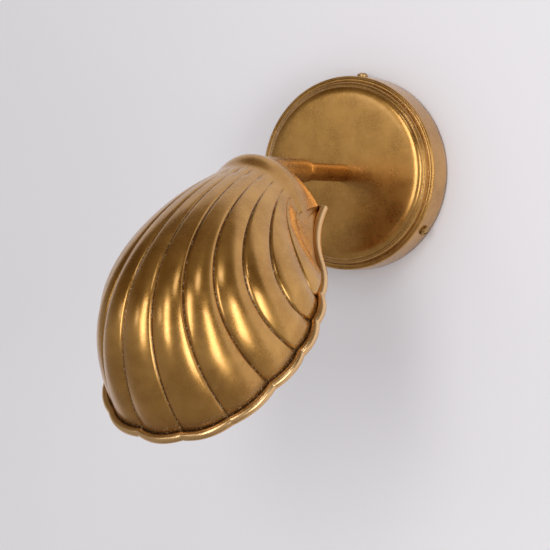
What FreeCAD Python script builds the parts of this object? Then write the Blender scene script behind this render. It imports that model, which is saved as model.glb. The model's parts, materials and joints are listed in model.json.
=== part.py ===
"""Shell wall sconce in aged brass: a round canopy, a plain arm and a fluted shell shade.

Frame: the origin is the centre of the canopy on the wall, the wall is the plane Y = 0,
the arm runs out along -Y, and +Z is up.  Lengths are millimetres.

Pieces on the arm are drawn in an arm frame whose Z is the distance out from the wall; its X
is the row's X and its Y is up.  The shade has a frame of its own: local Y runs from the front
of its mouth back to the heel, and local Z rises into the dome.  The lampholder's frame has
its Z along the holder, towards the front of the shade.
"""
import FreeCAD
import Part
import math
import os

import Sketcher

V = FreeCAD.Vector

SIZES = {
    # canopy on the wall
    "canopy_radius": 60.0,
    "canopy_depth": 24.0,
    "canopy_wall": 1.2,
    "face_rise": 5.4,
    "ridge_width": 3.2,
    "ridge_rise": 1.2,
    "cove_width": 1.4,
    "cove_rise": 1.8,
    "bead_width": 3.4,
    # bracket behind the canopy
    "bracket_inset": 14.0,
    "bracket_gauge": 1.6,
    "wire_hole_radius": 10.0,
    "wall_slot_spacing": 60.0,
    "wall_slot_width": 4.6,
    "wall_slot_length": 12.0,
    "lug_width": 12.0,
    "lug_height": 13.0,
    "lug_gap": 0.8,
    # side screws of the canopy
    "side_screw_radius": 2.0,
    "side_screw_length": 7.0,
    "side_screw_head_radius": 3.4,
    "side_screw_head_height": 2.6,
    "side_screw_distance": 8.6,
    "screw_turn": 6.0,
    "screw_slot_width": 0.9,
    "screw_slot_depth": 0.9,
    "thread_gap": 0.02,
    "hole_gap": 0.25,
    # terminal block
    "block_width": 30.0,
    "block_height": 16.0,
    "block_depth": 13.0,
    "block_drop": 13.0,
    "pole_spacing": 9.0,
    "entry_depth": 5.0,
    "entry_distance": 7.0,
    "clamp_screw_radius": 1.6,
    "clamp_screw_length": 3.0,
    "clamp_screw_offset": 4.4,
    "block_screw_radius": 1.5,
    "block_screw_length": 12.5,
    "block_screw_head_radius": 2.6,
    "block_screw_head_height": 1.6,
    # earth screw
    "earth_screw_radius": 2.0,
    "earth_screw_head_radius": 3.8,
    "earth_screw_head_height": 2.4,
    "earth_screw_length": 2.2,
    "earth_across": 27.0,
    "earth_drop": 24.0,
    "earth_washer_radius": 4.6,
    "earth_washer_gauge": 0.8,
    # arm and the nipple that locks it to the canopy
    "arm_radius": 5.5,
    "arm_bore_radius": 4.02,
    "arm_length": 64.0,
    "nipple_radius": 4.0,
    "nipple_bore_radius": 2.75,
    "nipple_engagement": 14.0,
    "nipple_tail": 4.0,
    "arm_washer_radius": 7.5,
    "arm_washer_gauge": 1.0,
    "arm_nut_flats": 13.0,
    "arm_nut_height": 4.0,
    # swivel inside the collar
    "stem_insert": 12.0,
    "stem_flange": 2.0,
    "stem_bore_radius": 2.2,
    "journal_radius": 3.0,
    "journal_length": 8.2,
    "running_gap": 0.05,
    "friction_washer_gauge": 0.5,
    "web_gauge": 3.5,
    "wave_washer_gauge": 0.6,
    "swivel_nut_radius": 4.7,
    "swivel_nut_height": 3.0,
    # collar
    "collar_radius": 7.2,
    "collar_lap": 21.0,
    "collar_length": 48.0,
    "collar_cover": 7.0,
    "collar_edge": 0.8,
    "seat_gap": 0.1,
    # hollow bolt that holds the shade to the collar, and its boss in the heel
    "bolt_radius": 5.0,
    "bolt_bore_radius": 2.6,
    "bolt_insert": 4.0,
    "bolt_recess": 0.5,
    "boss_radius": 8.6,
    "boss_length": 11.0,
    "boss_tab_width": 10.0,
    "boss_tab_drop": 17.0,
    "boss_tab_gauge": 6.0,
    # shade: the mouth and the hoops of poles that carry the dome over it
    "shade_tilt": 45.0,
    "seat_height": 25.5,
    "mouth_half_width": 56.5,
    "mouth_length": 160.0,
    "heel_overhang": 6.0,
    "heel_half_width": 28.0,
    "heel_height": 55.0,
    "heel_step": 3.0,
    "heel_bulge": 2.0,
    "heel_swell": 3.0,
    "crown_length": 146.8,
    "crown_height": 46.0,
    "crown_half_width": 32.4,
    "crown_sweep": -7.0,
    "back_length": 88.8,
    "back_height": 77.0,
    "back_half_width": 30.4,
    "back_sweep": 38.0,
    "front_length": 6.8,
    "front_height": 87.6,
    "front_half_width": 80.8,
    "front_sweep": 110.0,
    "shade_wall": 1.6,
    "flute_depth": 3.0,
    "lip_width": 5.0,
    "lip_drop": 3.0,
    "lip_crown": 1.6,
    # lampholder and its bent bracket
    "strap_width": 16.0,
    "strap_gauge": 1.5,
    "strap_rise": 7.0,
    "strap_drop": 26.0,
    "strap_leg": 23.0,
    "strap_screw_drop": 12.0,
    "strap_screw_radius": 2.0,
    "strap_screw_length": 7.0,
    "strap_screw_head_radius": 3.2,
    "strap_screw_head_height": 2.0,
    "holder_offset": 13.5,
    "holder_radius": 12.0,
    "holder_back_radius": 10.0,
    "holder_back_length": 5.0,
    "holder_skirt_radius": 10.6,
    "holder_skirt_length": 18.0,
    "holder_length": 40.0,
    "holder_mouth_radius": 7.6,
    "holder_mouth_depth": 22.0,
    "holder_screw_radius": 1.5,
    "holder_screw_length": 5.0,
    "holder_screw_spacing": 13.0,
    "holder_screw_head_radius": 2.6,
    "holder_screw_head_height": 1.7,
    "contact_gauge": 0.4,
    "sleeve_inset": 2.0,
    # bulb
    "bulb_cap_radius": 6.9,
    "bulb_cap_length": 18.0,
    "bulb_neck_radius": 6.4,
    "bulb_radius": 13.0,
    "bulb_length": 54.0,
    "bulb_taper": 14.0,
    "cap_nose": 3.0,
    "cap_overhang": 1.0,
    # leads inside the lamp
    "flex_radius": 2.1,
    "flex_bend_radius": 5.5,
    "holder_bend_radius": 6.3,
    "flex_gap": 0.3,
    "flex_end_gap": 1.0,
}

FLUTES = 15
SCREW_ANGLES = {"top": 90.0, "right": -30.0, "left": 210.0}
SLOT_TURN = 20.0

# Half outline of the mouth at the ends of the grooves: across and along, as parts of the
# mouth's half width and of its length.
MOUTH_OUTLINE = ((0.22, 0.0), (0.63, 0.07), (0.87, 0.215), (1.0, 0.35),
                 (1.0, 0.48), (0.92, 0.595), (0.755, 0.745))

# How each hoop of poles runs from the middle flute (no fall) to the sides (a fall of 1):
# swell of its width, power of its sweep, share of its height lost, power of that loss.
HOOPS = {"crown": (0.0, 1.0, 0.69, 1.0),
         "back": (0.335, 0.95, 1.14, 1.16),
         "front": (-0.156, 0.88, 1.36, 1.1)}
CREST_SHARE = 0.17
HEEL_SPREAD = 1.03

# Rise of the ribs over the grooves at each pole, as parts of the flute's depth.
RIB_RISE = (0.0, 0.0, 0.0, 0.0, -0.3, 2.3, 1.0)
END_RIB_SHARE = 0.3

# Section of the lip from its root outwards: part of its width, and part of its crown or drop.
LIP_SECTION = ((0.4, "lip_crown", 1.0), (1.0, "lip_crown", 0.5), (1.0, "lip_drop", -1.0))
LIP_ROOT_DROP = 0.3
HEEL_LIP_TAPER = 0.35
HEEL_LIP_LEAST = 0.3
CORNER_SLANT = 0.6

# Faces of the shade: chords across a rib, and rows over the cap, the dome and its inside.
RIB_FACETS = 4
CAP_STEPS = 4
DOME_STEPS = 12
INNER_STEPS = 8
FLEX_SIDES = 8
FLEX_BEND_STEPS = 4

doc = FreeCAD.newDocument("shell_wall_sconce")
sheet = doc.addObject("Spreadsheet::Sheet", "sizes")
for line, (alias, number) in enumerate(SIZES.items(), start=1):
    sheet.set("A%d" % line, alias)
    sheet.set("B%d" % line, str(number))
    sheet.setAlias("B%d" % line, alias)
doc.recompute()

nodes = []


# ------------------------------------------------------------------ sizes and placements

def size(alias):
    """A driving size, read from the sheet."""
    return float(sheet.get(alias))


def terms(text):
    """The signed terms of a sum such as "arm_radius + lug_width/2"."""
    sign = 1.0
    for word in text.split():
        if word == "+":
            sign = 1.0
        elif word == "-":
            sign = -1.0
        else:
            name, _, divisor = word.partition("/")
            yield sign, name, float(divisor or 1)


def amount(text):
    """The value of a sum of sizes."""
    return sum(sign * (size(name) if name in SIZES else float(name)) / divisor
               for sign, name, divisor in terms(text))


def bound(text):
    """The same sum as an expression on the sheet's cells."""
    words = ["sizes." + word if word.partition("/")[0] in SIZES else word
             for word in text.split()]
    return " ".join(words)


ARM_FRAME = FreeCAD.Placement(V(0, 0, 0), FreeCAD.Rotation(V(1, 0, 0), 90))
ARM_END = "canopy_depth + arm_length"
COLLAR_START = ARM_END + " - collar_lap"
SEAT = COLLAR_START + " + collar_length"
BOSS_END = SEAT + " + boss_length"
STRAP_FRONT = BOSS_END + " + strap_gauge"


def shade_frame():
    """The shade is tilted about X, and its seat point lies on the arm's axis."""
    turn = FreeCAD.Rotation(V(1, 0, 0), size("shade_tilt"))
    seat = turn.multVec(seat_point())
    return FreeCAD.Placement(V(0, -amount(SEAT), 0) - seat, turn)


def strap_bend():
    """The middle of the strap's bend, in the arm frame."""
    return V(0, -size("strap_drop"), amount(BOSS_END + " + strap_gauge/2"))


def holder_frame():
    """The lampholder stands square on the strap's second leg."""
    turn = FreeCAD.Rotation(V(1, 0, 0), 90 + size("shade_tilt"))
    bend = ARM_FRAME.multVec(strap_bend())
    up_the_leg = turn.multVec(V(0, size("holder_offset"), size("strap_gauge") / 2))
    return FreeCAD.Placement(bend + up_the_leg, turn)


def node(feature, label, placement=ARM_FRAME):
    """Name a finished sub-part and put it in its place."""
    feature.Label = label
    feature.Placement = placement
    nodes.append(feature)
    return feature


# ------------------------------------------------------------------ sketches and features

def new_body(label):
    return doc.addObject("PartDesign::Body", "Body_" + label)


def origin_feature(body, role):
    """One of the body's own origin planes or axes."""
    for feature in body.Origin.OriginFeatures:
        if feature.Role == role:
            return feature
    raise ValueError(role)


def new_sketch(body, role, name, lift=None, turn=0.0):
    """A sketch on one of the body's origin planes, lifted along the plane's normal.

    A turn is in degrees, clockwise about the body's Z as seen from its end.
    """
    sketch = body.newObject("Sketcher::SketchObject", name)
    sketch.AttachmentSupport = [(origin_feature(body, role), "")]
    sketch.MapMode = "FlatFace"
    upright = V(0, 0, 1) if role == "XY_Plane" else V(0, 1, 0)
    sketch.AttachmentOffset = FreeCAD.Placement(V(0, 0, 0), FreeCAD.Rotation(upright, -turn))
    if lift:
        sketch.setExpression("AttachmentOffset.Base.z", bound(lift))
    return sketch


def tie(sketch, constraint, expression):
    """Add a constraint whose value follows the sheet."""
    index = sketch.addConstraint(constraint)
    sketch.setExpression("Constraints[%d]" % index, expression)


def place_point(sketch, geometry, end, across, along):
    """Hold a point at two bound distances from the sketch's origin."""
    for kind, axis, text in (("DistanceX", -2, across), ("DistanceY", -1, along)):
        if text == "0":
            sketch.addConstraint(Sketcher.Constraint("PointOnObject", geometry, end, axis))
        else:
            rule = Sketcher.Constraint(kind, -1, 1, geometry, end, amount(text))
            tie(sketch, rule, bound(text))


def bulge(start, end, radius, turn):
    """The short arc from start to end; turn is +1 where it bulges to the right of the way."""
    chord = end - start
    half = chord.Length / 2
    rise = math.sqrt(max(radius * radius - half * half, 0.0))
    side = V(chord.y, -chord.x, 0).normalize() * turn
    centre = (start + end) * 0.5 - side * rise
    return Part.Arc(start, centre + side * radius, end)


def outline(sketch, corners):
    """A closed outline of lines and arcs.

    A corner is (across, along), or (across, along, radius, turn) where the edge that
    arrives at it is an arc.
    """
    spots = [V(amount(corner[0]), amount(corner[1]), 0) for corner in corners]
    count = len(corners)
    edges = []
    for i in range(count):
        start = spots[i]
        end = spots[(i + 1) % count]
        arc = corners[(i + 1) % count][2:]
        curve = bulge(start, end, amount(arc[0]), arc[1]) if arc else Part.LineSegment(start, end)
        index = sketch.addGeometry(curve, False)
        forwards = (sketch.getPoint(index, 1) - start).Length < 1e-6
        edges.append((index, 1 if forwards else 2, 2 if forwards else 1, arc))
    for i in range(count):
        index, first, last, arc = edges[i]
        follower = edges[(i + 1) % count]
        sketch.addConstraint(Sketcher.Constraint("Coincident", index, last, follower[0], follower[1]))
        place_point(sketch, index, first, corners[i][0], corners[i][1])
        if arc:
            tie(sketch, Sketcher.Constraint("Radius", index, amount(arc[0])), bound(arc[0]))


def circle(sketch, across, along, radius):
    """A circle held by its centre and its radius."""
    centre = V(amount(across), amount(along), 0)
    index = sketch.addGeometry(Part.Circle(centre, V(0, 0, 1), amount(radius)), False)
    if across == along == "0":
        sketch.addConstraint(Sketcher.Constraint("Coincident", index, 3, -1, 1))
    else:
        place_point(sketch, index, 3, across, along)
    tie(sketch, Sketcher.Constraint("Radius", index, amount(radius)), bound(radius))


def box_corners(left, right, low, high):
    return [(left, low), (right, low), (right, high), (left, high)]


def revolve(body, corners, name="profile"):
    """A turned form about the body's Z; corners are (radius, height)."""
    sketch = new_sketch(body, "XZ_Plane", name)
    outline(sketch, corners)
    feature = body.newObject("PartDesign::Revolution", name + "_turned")
    feature.Profile = sketch
    feature.ReferenceAxis = (sketch, ["V_Axis"])
    feature.Angle = 360
    body.Tip = feature
    doc.recompute()
    return feature


def turned(label, corners, placement=ARM_FRAME):
    """A sub-part that is all turning."""
    body = new_body(label)
    revolve(body, corners)
    return node(body, label, placement)


def tube(label, inner, outer, start, end, placement=ARM_FRAME):
    """A plain ring or tube from start to end along the axis."""
    return turned(label, box_corners(inner, outer, start, end), placement)


def pad(body, sketch, length, name):
    feature = body.newObject("PartDesign::Pad", name)
    feature.Profile = sketch
    feature.setExpression("Length", bound(length))
    body.Tip = feature
    doc.recompute()
    return feature


def pocket(body, sketch, name, length=None):
    """Cut a sketch out of the body, and make sure that something was cut away."""
    before = body.Shape.Volume
    feature = body.newObject("PartDesign::Pocket", name)
    feature.Profile = sketch
    if length:
        feature.setExpression("Length", bound(length))
    else:
        feature.Type = "ThroughAll"
    body.Tip = feature
    for backwards in (False, True):
        feature.Reversed = backwards
        doc.recompute()
        if feature.isValid() and 1e-6 < body.Shape.Volume < before - 1e-6:
            return feature
    raise ValueError(body.Name + " " + name + " cuts nothing")


def drill(body, role, name, across, along, radius, length=None, lift=None, turn=0.0):
    """A round hole square to one of the origin planes."""
    sketch = new_sketch(body, role, name, lift, turn)
    circle(sketch, across, along, radius)
    return pocket(body, sketch, name + "_cut", length)


def polar(body, features, count, name):
    """Repeat features evenly round the body's Z."""
    pattern = body.newObject("PartDesign::PolarPattern", name)
    pattern.Originals = features
    pattern.Axis = (origin_feature(body, "Z_Axis"), [""])
    pattern.Angle = 360
    pattern.Occurrences = count
    body.Tip = pattern
    doc.recompute()
    return pattern


def hexagon(sketch, flats):
    """A hexagon round the origin by its width across flats."""
    reach = size(flats) / math.sqrt(3)
    points = [V(reach * math.cos(i * math.pi / 3), reach * math.sin(i * math.pi / 3), 0)
              for i in range(6)]
    ring = sketch.addGeometry(Part.Circle(V(0, 0, 0), V(0, 0, 1), reach), True)
    sketch.addConstraint(Sketcher.Constraint("Coincident", ring, 3, -1, 1))
    sides = [sketch.addGeometry(Part.LineSegment(points[i], points[(i + 1) % 6]), False)
             for i in range(6)]
    for i, side in enumerate(sides):
        sketch.addConstraint(Sketcher.Constraint("Coincident", side, 2, sides[(i + 1) % 6], 1))
        sketch.addConstraint(Sketcher.Constraint("PointOnObject", side, 1, ring))
        if i:
            sketch.addConstraint(Sketcher.Constraint("Equal", sides[0], side))
    sketch.addConstraint(Sketcher.Constraint("PointOnObject", sides[0], 1, -1))
    tie(sketch, Sketcher.Constraint("Radius", ring, reach), "sizes." + flats + " / sqrt(3)")


def hex_nut(label, flats, bore, start, height):
    """A hexagon nut on the arm's axis, from start outwards."""
    body = new_body(label)
    sketch = new_sketch(body, "XY_Plane", "flats", start)
    hexagon(sketch, flats)
    pad(body, sketch, height, "blank")
    drill(body, "XY_Plane", "bore", "0", "0", bore)
    return node(body, label)


def headed_screw(label, radius, seat, length, head_radius, head_height, placement, slotted=False):
    """A screw: shank below the seat plane, cheese head above it."""
    body = new_body(label)
    top = seat + " + " + head_height
    revolve(body, [
        ("0", seat + " - " + length),
        (radius, seat + " - " + length),
        (radius, seat),
        (head_radius, seat),
        (head_radius, top),
        ("0", top),
    ])
    if slotted:
        cut_slot(body, top)
    return node(body, label, placement)


def cut_slot(body, top):
    """A screwdriver's slot across a screw's head."""
    slot = new_sketch(body, "XZ_Plane", "slot")
    half = "screw_slot_width/2"
    outline(slot, box_corners("0 - " + half, half, top + " - screw_slot_depth",
                              top + " + screw_slot_depth"))
    before = body.Shape.Volume
    cut = body.newObject("PartDesign::Pocket", "slot_cut")
    cut.Profile = slot
    cut.Type = "ThroughAll"
    cut.Midplane = True
    body.Tip = cut
    doc.recompute()
    if body.Shape.Volume > before - 1e-6:
        raise ValueError(body.Name + " has no slot")


# ------------------------------------------------------------------ canopy and its bracket

FACE_BACK = "canopy_depth - canopy_wall"
FACE_RADIUS = "canopy_radius - ridge_width - cove_width - bead_width"
SIDE_TOP = "canopy_depth - face_rise"
RIDGE_TOP = SIDE_TOP + " + ridge_rise"
COVE_TOP = RIDGE_TOP + " + cove_rise"


def make_canopy():
    """A spun cup: plain side, then a ridge, a cove and a bead that step up to a flat face."""
    body = new_body("canopy")
    revolve(body, [
        ("canopy_radius - canopy_wall", "0"),
        ("canopy_radius", "0"),
        ("canopy_radius", SIDE_TOP),
        ("canopy_radius - ridge_width", SIDE_TOP),
        ("canopy_radius - ridge_width", RIDGE_TOP),
        ("canopy_radius - ridge_width - cove_width", RIDGE_TOP),
        ("canopy_radius - ridge_width - cove_width", COVE_TOP),
        (FACE_RADIUS, COVE_TOP),
        (FACE_RADIUS, "canopy_depth"),
        ("nipple_radius + hole_gap", "canopy_depth"),
        ("nipple_radius + hole_gap", FACE_BACK),
        (FACE_RADIUS + " - canopy_wall", FACE_BACK),
        (FACE_RADIUS + " - canopy_wall", SIDE_TOP + " - canopy_wall"),
        ("canopy_radius - canopy_wall", SIDE_TOP + " - canopy_wall"),
    ])
    hole = drill(body, "XZ_Plane", "side_hole", "0", "side_screw_distance",
                 "side_screw_radius + hole_gap", "canopy_radius + canopy_wall",
                 turn=size("screw_turn"))
    polar(body, [hole], len(SCREW_ANGLES), "side_holes")
    node(body, "canopy")


BRACKET_RADIUS = "canopy_radius - bracket_inset"
LUG_FACE = "canopy_radius - canopy_wall - lug_gap"


def slot_outline(sketch, middle):
    """A round-ended wall slot along X: two half circles and two tangent sides."""
    half = size("wall_slot_width") / 2
    near = middle + " - wall_slot_length/2 + wall_slot_width/2"
    far = middle + " + wall_slot_length/2 - wall_slot_width/2"
    quarter = math.pi / 2
    left = V(amount(near), 0, 0)
    right = V(amount(far), 0, 0)
    up = V(0, half, 0)
    near_arc = Part.ArcOfCircle(Part.Circle(left, V(0, 0, 1), half), quarter, 3 * quarter)
    far_arc = Part.ArcOfCircle(Part.Circle(right, V(0, 0, 1), half), -quarter, quarter)
    near_end = sketch.addGeometry(near_arc, False)
    lower = sketch.addGeometry(Part.LineSegment(left - up, right - up), False)
    far_end = sketch.addGeometry(far_arc, False)
    upper = sketch.addGeometry(Part.LineSegment(right + up, left + up), False)
    for first, second in ((near_end, lower), (lower, far_end), (far_end, upper), (upper, near_end)):
        sketch.addConstraint(Sketcher.Constraint("Tangent", first, 2, second, 1))
    sketch.addConstraint(Sketcher.Constraint("Equal", near_end, far_end))
    place_point(sketch, near_end, 3, near, "0")
    place_point(sketch, far_end, 3, far, "0")
    tie(sketch, Sketcher.Constraint("Radius", near_end, half), bound("wall_slot_width/2"))


def make_bracket():
    """A pressed disc with a wire hole, two wall slots and three lugs bent forward."""
    body = new_body("wall_bracket")
    disc = new_sketch(body, "XY_Plane", "disc")
    circle(disc, "0", "0", BRACKET_RADIUS)
    pad(body, disc, "bracket_gauge", "disc_pad")
    half = "lug_width/2"
    left = "0 - " + half
    turn = size("screw_turn")
    foot = new_sketch(body, "XY_Plane", "foot", turn=turn)
    outline(foot, box_corners(left, half, BRACKET_RADIUS + " - lug_width/2", LUG_FACE))
    foot_pad = pad(body, foot, "bracket_gauge", "foot_pad")
    upright = new_sketch(body, "XY_Plane", "upright", turn=turn)
    outline(upright, box_corners(left, half, LUG_FACE + " - bracket_gauge", LUG_FACE))
    upright_pad = pad(body, upright, "lug_height", "upright_pad")
    tapped = drill(body, "XZ_Plane", "tapped_hole", "0", "side_screw_distance",
                   "side_screw_radius + thread_gap", "canopy_radius", turn=turn)
    polar(body, [foot_pad, upright_pad, tapped], len(SCREW_ANGLES), "lugs")
    drill(body, "XY_Plane", "wire_hole", "0", "0", "wire_hole_radius")
    for name, middle in (("right", "wall_slot_spacing/2"), ("left", "0 - wall_slot_spacing/2")):
        slot = new_sketch(body, "XY_Plane", "slot_" + name)
        slot_outline(slot, middle)
        pocket(body, slot, "slot_cut_" + name)
    drill(body, "XY_Plane", "earth_tapping", "0 - earth_across", "0 - earth_drop",
          "earth_screw_radius + thread_gap")
    drill(body, "XY_Plane", "block_tapping", "0", "0 - block_drop - block_height/2",
          "block_screw_radius + thread_gap")
    node(body, "wall_bracket")


def make_side_screws():
    """Three slotted screws run in through the canopy's side to the lugs."""
    slot_turn = FreeCAD.Rotation(V(0, 0, 1), SLOT_TURN)
    for where, angle in SCREW_ANGLES.items():
        turn = FreeCAD.Rotation(V(0, 1, 0), 90 - angle + size("screw_turn"))
        place = FreeCAD.Placement(V(0, -size("side_screw_distance"), 0), turn.multiply(slot_turn))
        headed_screw("side_screw_" + where, "side_screw_radius", "canopy_radius",
                     "side_screw_length", "side_screw_head_radius", "side_screw_head_height",
                     place, slotted=True)


BLOCK_TOP = "0 - block_drop"
BLOCK_MIDDLE = "0 - block_drop - block_height/2"
BLOCK_FRONT = "bracket_gauge + block_depth"
POLES = ("0 - pole_spacing", "0", "pole_spacing")


def make_terminal_block():
    """A three-pole block: the flex enters its top edge, clamp screws sit in its face."""
    body = new_body("terminal_block")
    blank = new_sketch(body, "XY_Plane", "blank", "bracket_gauge")
    outline(blank, box_corners("0 - block_width/2", "block_width/2",
                               BLOCK_TOP + " - block_height", BLOCK_TOP))
    pad(body, blank, "block_depth", "blank_pad")
    drill(body, "XZ_Plane", "entry", "0", "entry_distance", "flex_radius + hole_gap",
          "entry_depth", "block_drop")
    for i, pole in enumerate(POLES):
        for j, shift in enumerate((" + clamp_screw_offset", " - clamp_screw_offset")):
            drill(body, "XY_Plane", "clamp_%d_%d" % (i, j), pole, BLOCK_MIDDLE + shift,
                  "clamp_screw_radius + thread_gap", "clamp_screw_length", BLOCK_FRONT)
    drill(body, "XY_Plane", "fixing", "0", BLOCK_MIDDLE, "block_screw_radius + thread_gap")
    node(body, "terminal_block")


def make_terminal_screws():
    """Six clamp screws, flush in the block's face, one loose group."""
    group = doc.addObject("Part::Compound", "terminal_screws_group")
    screws = []
    for i, pole in enumerate(POLES):
        for j, shift in enumerate((" + clamp_screw_offset", " - clamp_screw_offset")):
            screw = doc.addObject("Part::Cylinder", "clamp_screw_%d_%d" % (i, j))
            screw.setExpression("Radius", bound("clamp_screw_radius"))
            screw.setExpression("Height", bound("clamp_screw_length"))
            screw.setExpression("Placement.Base.x", bound(pole))
            screw.setExpression("Placement.Base.y", bound(BLOCK_MIDDLE + shift))
            screw.setExpression("Placement.Base.z", bound(BLOCK_FRONT + " - clamp_screw_length"))
            screws.append(screw)
    group.Links = screws
    doc.recompute()
    node(group, "terminal_screws")


def make_block_and_earth_screws():
    """The screw that holds the block down, and the earth screw with its cup washer."""
    middle = FreeCAD.Placement(V(0, amount(BLOCK_MIDDLE), 0), FreeCAD.Rotation())
    headed_screw("block_screw", "block_screw_radius", BLOCK_FRONT, "block_screw_length",
                 "block_screw_head_radius", "block_screw_head_height",
                 ARM_FRAME.multiply(middle))
    corner = FreeCAD.Placement(V(-size("earth_across"), -size("earth_drop"), 0),
                               FreeCAD.Rotation())
    earth = ARM_FRAME.multiply(corner)
    seat = "bracket_gauge + earth_washer_gauge"
    tube("earth_washer", "earth_screw_radius + hole_gap", "earth_washer_radius",
         "bracket_gauge", seat, earth)
    headed_screw("earth_screw", "earth_screw_radius", seat, "earth_screw_length",
                 "earth_screw_head_radius", "earth_screw_head_height", earth)


# ------------------------------------------------------------------ arm and swivel

WASHER_BACK = FACE_BACK + " - arm_washer_gauge"
NUT_BACK = WASHER_BACK + " - arm_nut_height"
NIPPLE_START = NUT_BACK + " - nipple_tail"
FLANGE_END = ARM_END + " + stem_flange"
WEB_START = FLANGE_END + " + friction_washer_gauge"
WEB_END = WEB_START + " + web_gauge"
WAVE_END = WEB_END + " + wave_washer_gauge"
JOURNAL_END = FLANGE_END + " + journal_length"
BOLT_START = SEAT + " - bolt_insert"


def make_arm():
    """A straight tube on a hollow nipple, locked behind the canopy's face."""
    tube("arm_tube", "arm_bore_radius", "arm_radius", "canopy_depth", ARM_END)
    tube("arm_nipple", "nipple_bore_radius", "nipple_radius", NIPPLE_START,
         "canopy_depth + nipple_engagement")
    tube("arm_washer", "nipple_radius + thread_gap", "arm_washer_radius", WASHER_BACK, FACE_BACK)
    hex_nut("arm_nut", "arm_nut_flats", "nipple_radius + thread_gap", NUT_BACK, "arm_nut_height")


def make_swivel():
    """A flanged stem in the arm's end, on which the collar's web turns against friction."""
    turned("swivel_stem", [
        ("stem_bore_radius", ARM_END + " - stem_insert"),
        ("nipple_radius", ARM_END + " - stem_insert"),
        ("nipple_radius", ARM_END),
        ("arm_radius", ARM_END),
        ("arm_radius", FLANGE_END),
        ("journal_radius", FLANGE_END),
        ("journal_radius", JOURNAL_END),
        ("stem_bore_radius", JOURNAL_END),
    ])
    tube("friction_washer", "journal_radius + running_gap", "arm_radius", FLANGE_END, WEB_START)
    tube("wave_washer", "journal_radius + running_gap", "swivel_nut_radius", WEB_END, WAVE_END)
    tube("swivel_nut", "journal_radius + thread_gap", "swivel_nut_radius", WAVE_END,
         WAVE_END + " + swivel_nut_height")


def make_collar(skin):
    """The sleeve over the arm's end, mitred to the shade's heel."""
    body = new_body("collar_blank")
    bore = "arm_radius + running_gap"
    web_bore = "journal_radius + running_gap"
    thread = "bolt_radius + thread_gap"
    end = SEAT + " + collar_cover"
    revolve(body, [
        (bore, COLLAR_START),
        ("collar_radius - collar_edge", COLLAR_START),
        ("collar_radius", COLLAR_START + " + collar_edge"),
        ("collar_radius", end),
        (thread, end),
        (thread, WEB_END),
        (web_bore, WEB_END),
        (web_bore, WEB_START),
        (bore, WEB_START),
    ])
    back_off = FreeCAD.Placement(V(0, 0, -size("seat_gap")), FreeCAD.Rotation())
    heel = skin.copy()
    heel.Placement = back_off.multiply(ARM_FRAME.inverse().multiply(shade_frame()))
    mitred = body.Shape.cut(heel)
    collar = doc.addObject("Part::Feature", "Body_collar")
    collar.Shape = max(mitred.Solids, key=lambda solid: solid.Volume)
    node(collar, "collar")


def make_shade_bolt():
    """A hollow bolt that screws into the collar and into the shade's boss."""
    tube("shade_bolt", "bolt_bore_radius", "bolt_radius", BOLT_START, BOSS_END + " - bolt_recess")


# ------------------------------------------------------------------ shade

STEP = math.pi / FLUTES
LAST_ROW = 6


def hoop(name, angle):
    """A pole hoop over the shell: angle is 0 at the middle flute and 90 degrees at a side."""
    swell, sweep_power, loss, loss_power = HOOPS[name]
    fall = 1 - math.cos(angle)
    twice = math.sin(2 * angle)
    width = math.sin(angle) + swell * twice * abs(twice)
    return V(size(name + "_half_width") * width,
             size(name + "_length") + size(name + "_sweep") * fall ** sweep_power,
             size(name + "_height") * (1 - loss * fall ** loss_power))


def mouth_point(index):
    """Where groove index (1 beside the middle flute, negative on the left) meets the mouth."""
    across, along = MOUTH_OUTLINE[abs(index) - 1]
    side = math.copysign(size("mouth_half_width"), index)
    return V(across * side, along * size("mouth_length"), 0)


def heel_column(angle):
    """Poles from the heel's edge up to the crown."""
    swing = math.sin(angle)
    level = math.cos(angle)
    half = size("heel_half_width")
    length = size("mouth_length")
    reach = size("heel_overhang")
    step = size("heel_step")
    edge = V(half * swing, length + reach * level, 0)
    rise = V(half * HEEL_SPREAD * swing,
             length + size("heel_bulge") + (reach + size("heel_swell")) * level,
             step + (size("heel_height") - step) * level)
    crown = hoop("crown", angle)
    start = crown - (hoop("back", angle) - crown) * CREST_SHARE
    return [edge, rise, start, crown]


def seat_point():
    """Where the arm's axis meets the heel: on its middle line, at the seat's height."""
    poles = heel_column(0.0)
    low = 0.0
    high = 1.0
    for _ in range(40):
        share = (low + high) / 2
        if curve_point(poles, share).z < size("seat_height"):
            low = share
        else:
            high = share
    return curve_point(poles, low)


def groove_column(index):
    """The poles of one groove from the heel's edge over the dome to the mouth."""
    if abs(index) > len(MOUTH_OUTLINE):
        corner = heel_column(math.copysign(math.pi / 2, index))
        return corner + corner[2::-1]
    angle = math.copysign((abs(index) - 0.5) * STEP, index)
    return heel_column(angle) + [hoop("back", angle), hoop("front", angle), mouth_point(index)]


def rib_column(left, right, angle, before, after):
    """The poles between two grooves that make the hoops smooth, before the flute is raised."""
    if before is None or after is None:
        middle = [(a + b) * 0.5 for a, b in zip(left, right)]
        middle[:4] = heel_column(angle)
    else:
        middle = heel_column(angle) + [hoop("back", angle), hoop("front", angle)]
        middle.append(((left[6] + right[6]) * 9 - before[6] - after[6]) * (1 / 16))
    return [m * 2 - (a + b) * 0.5 for m, a, b in zip(middle, left, right)]


def outward(along, across, level):
    """The unit normal that points out of the shell."""
    normal = along.cross(across)
    if level:
        normal.z = 0
    return normal.normalize()


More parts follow.
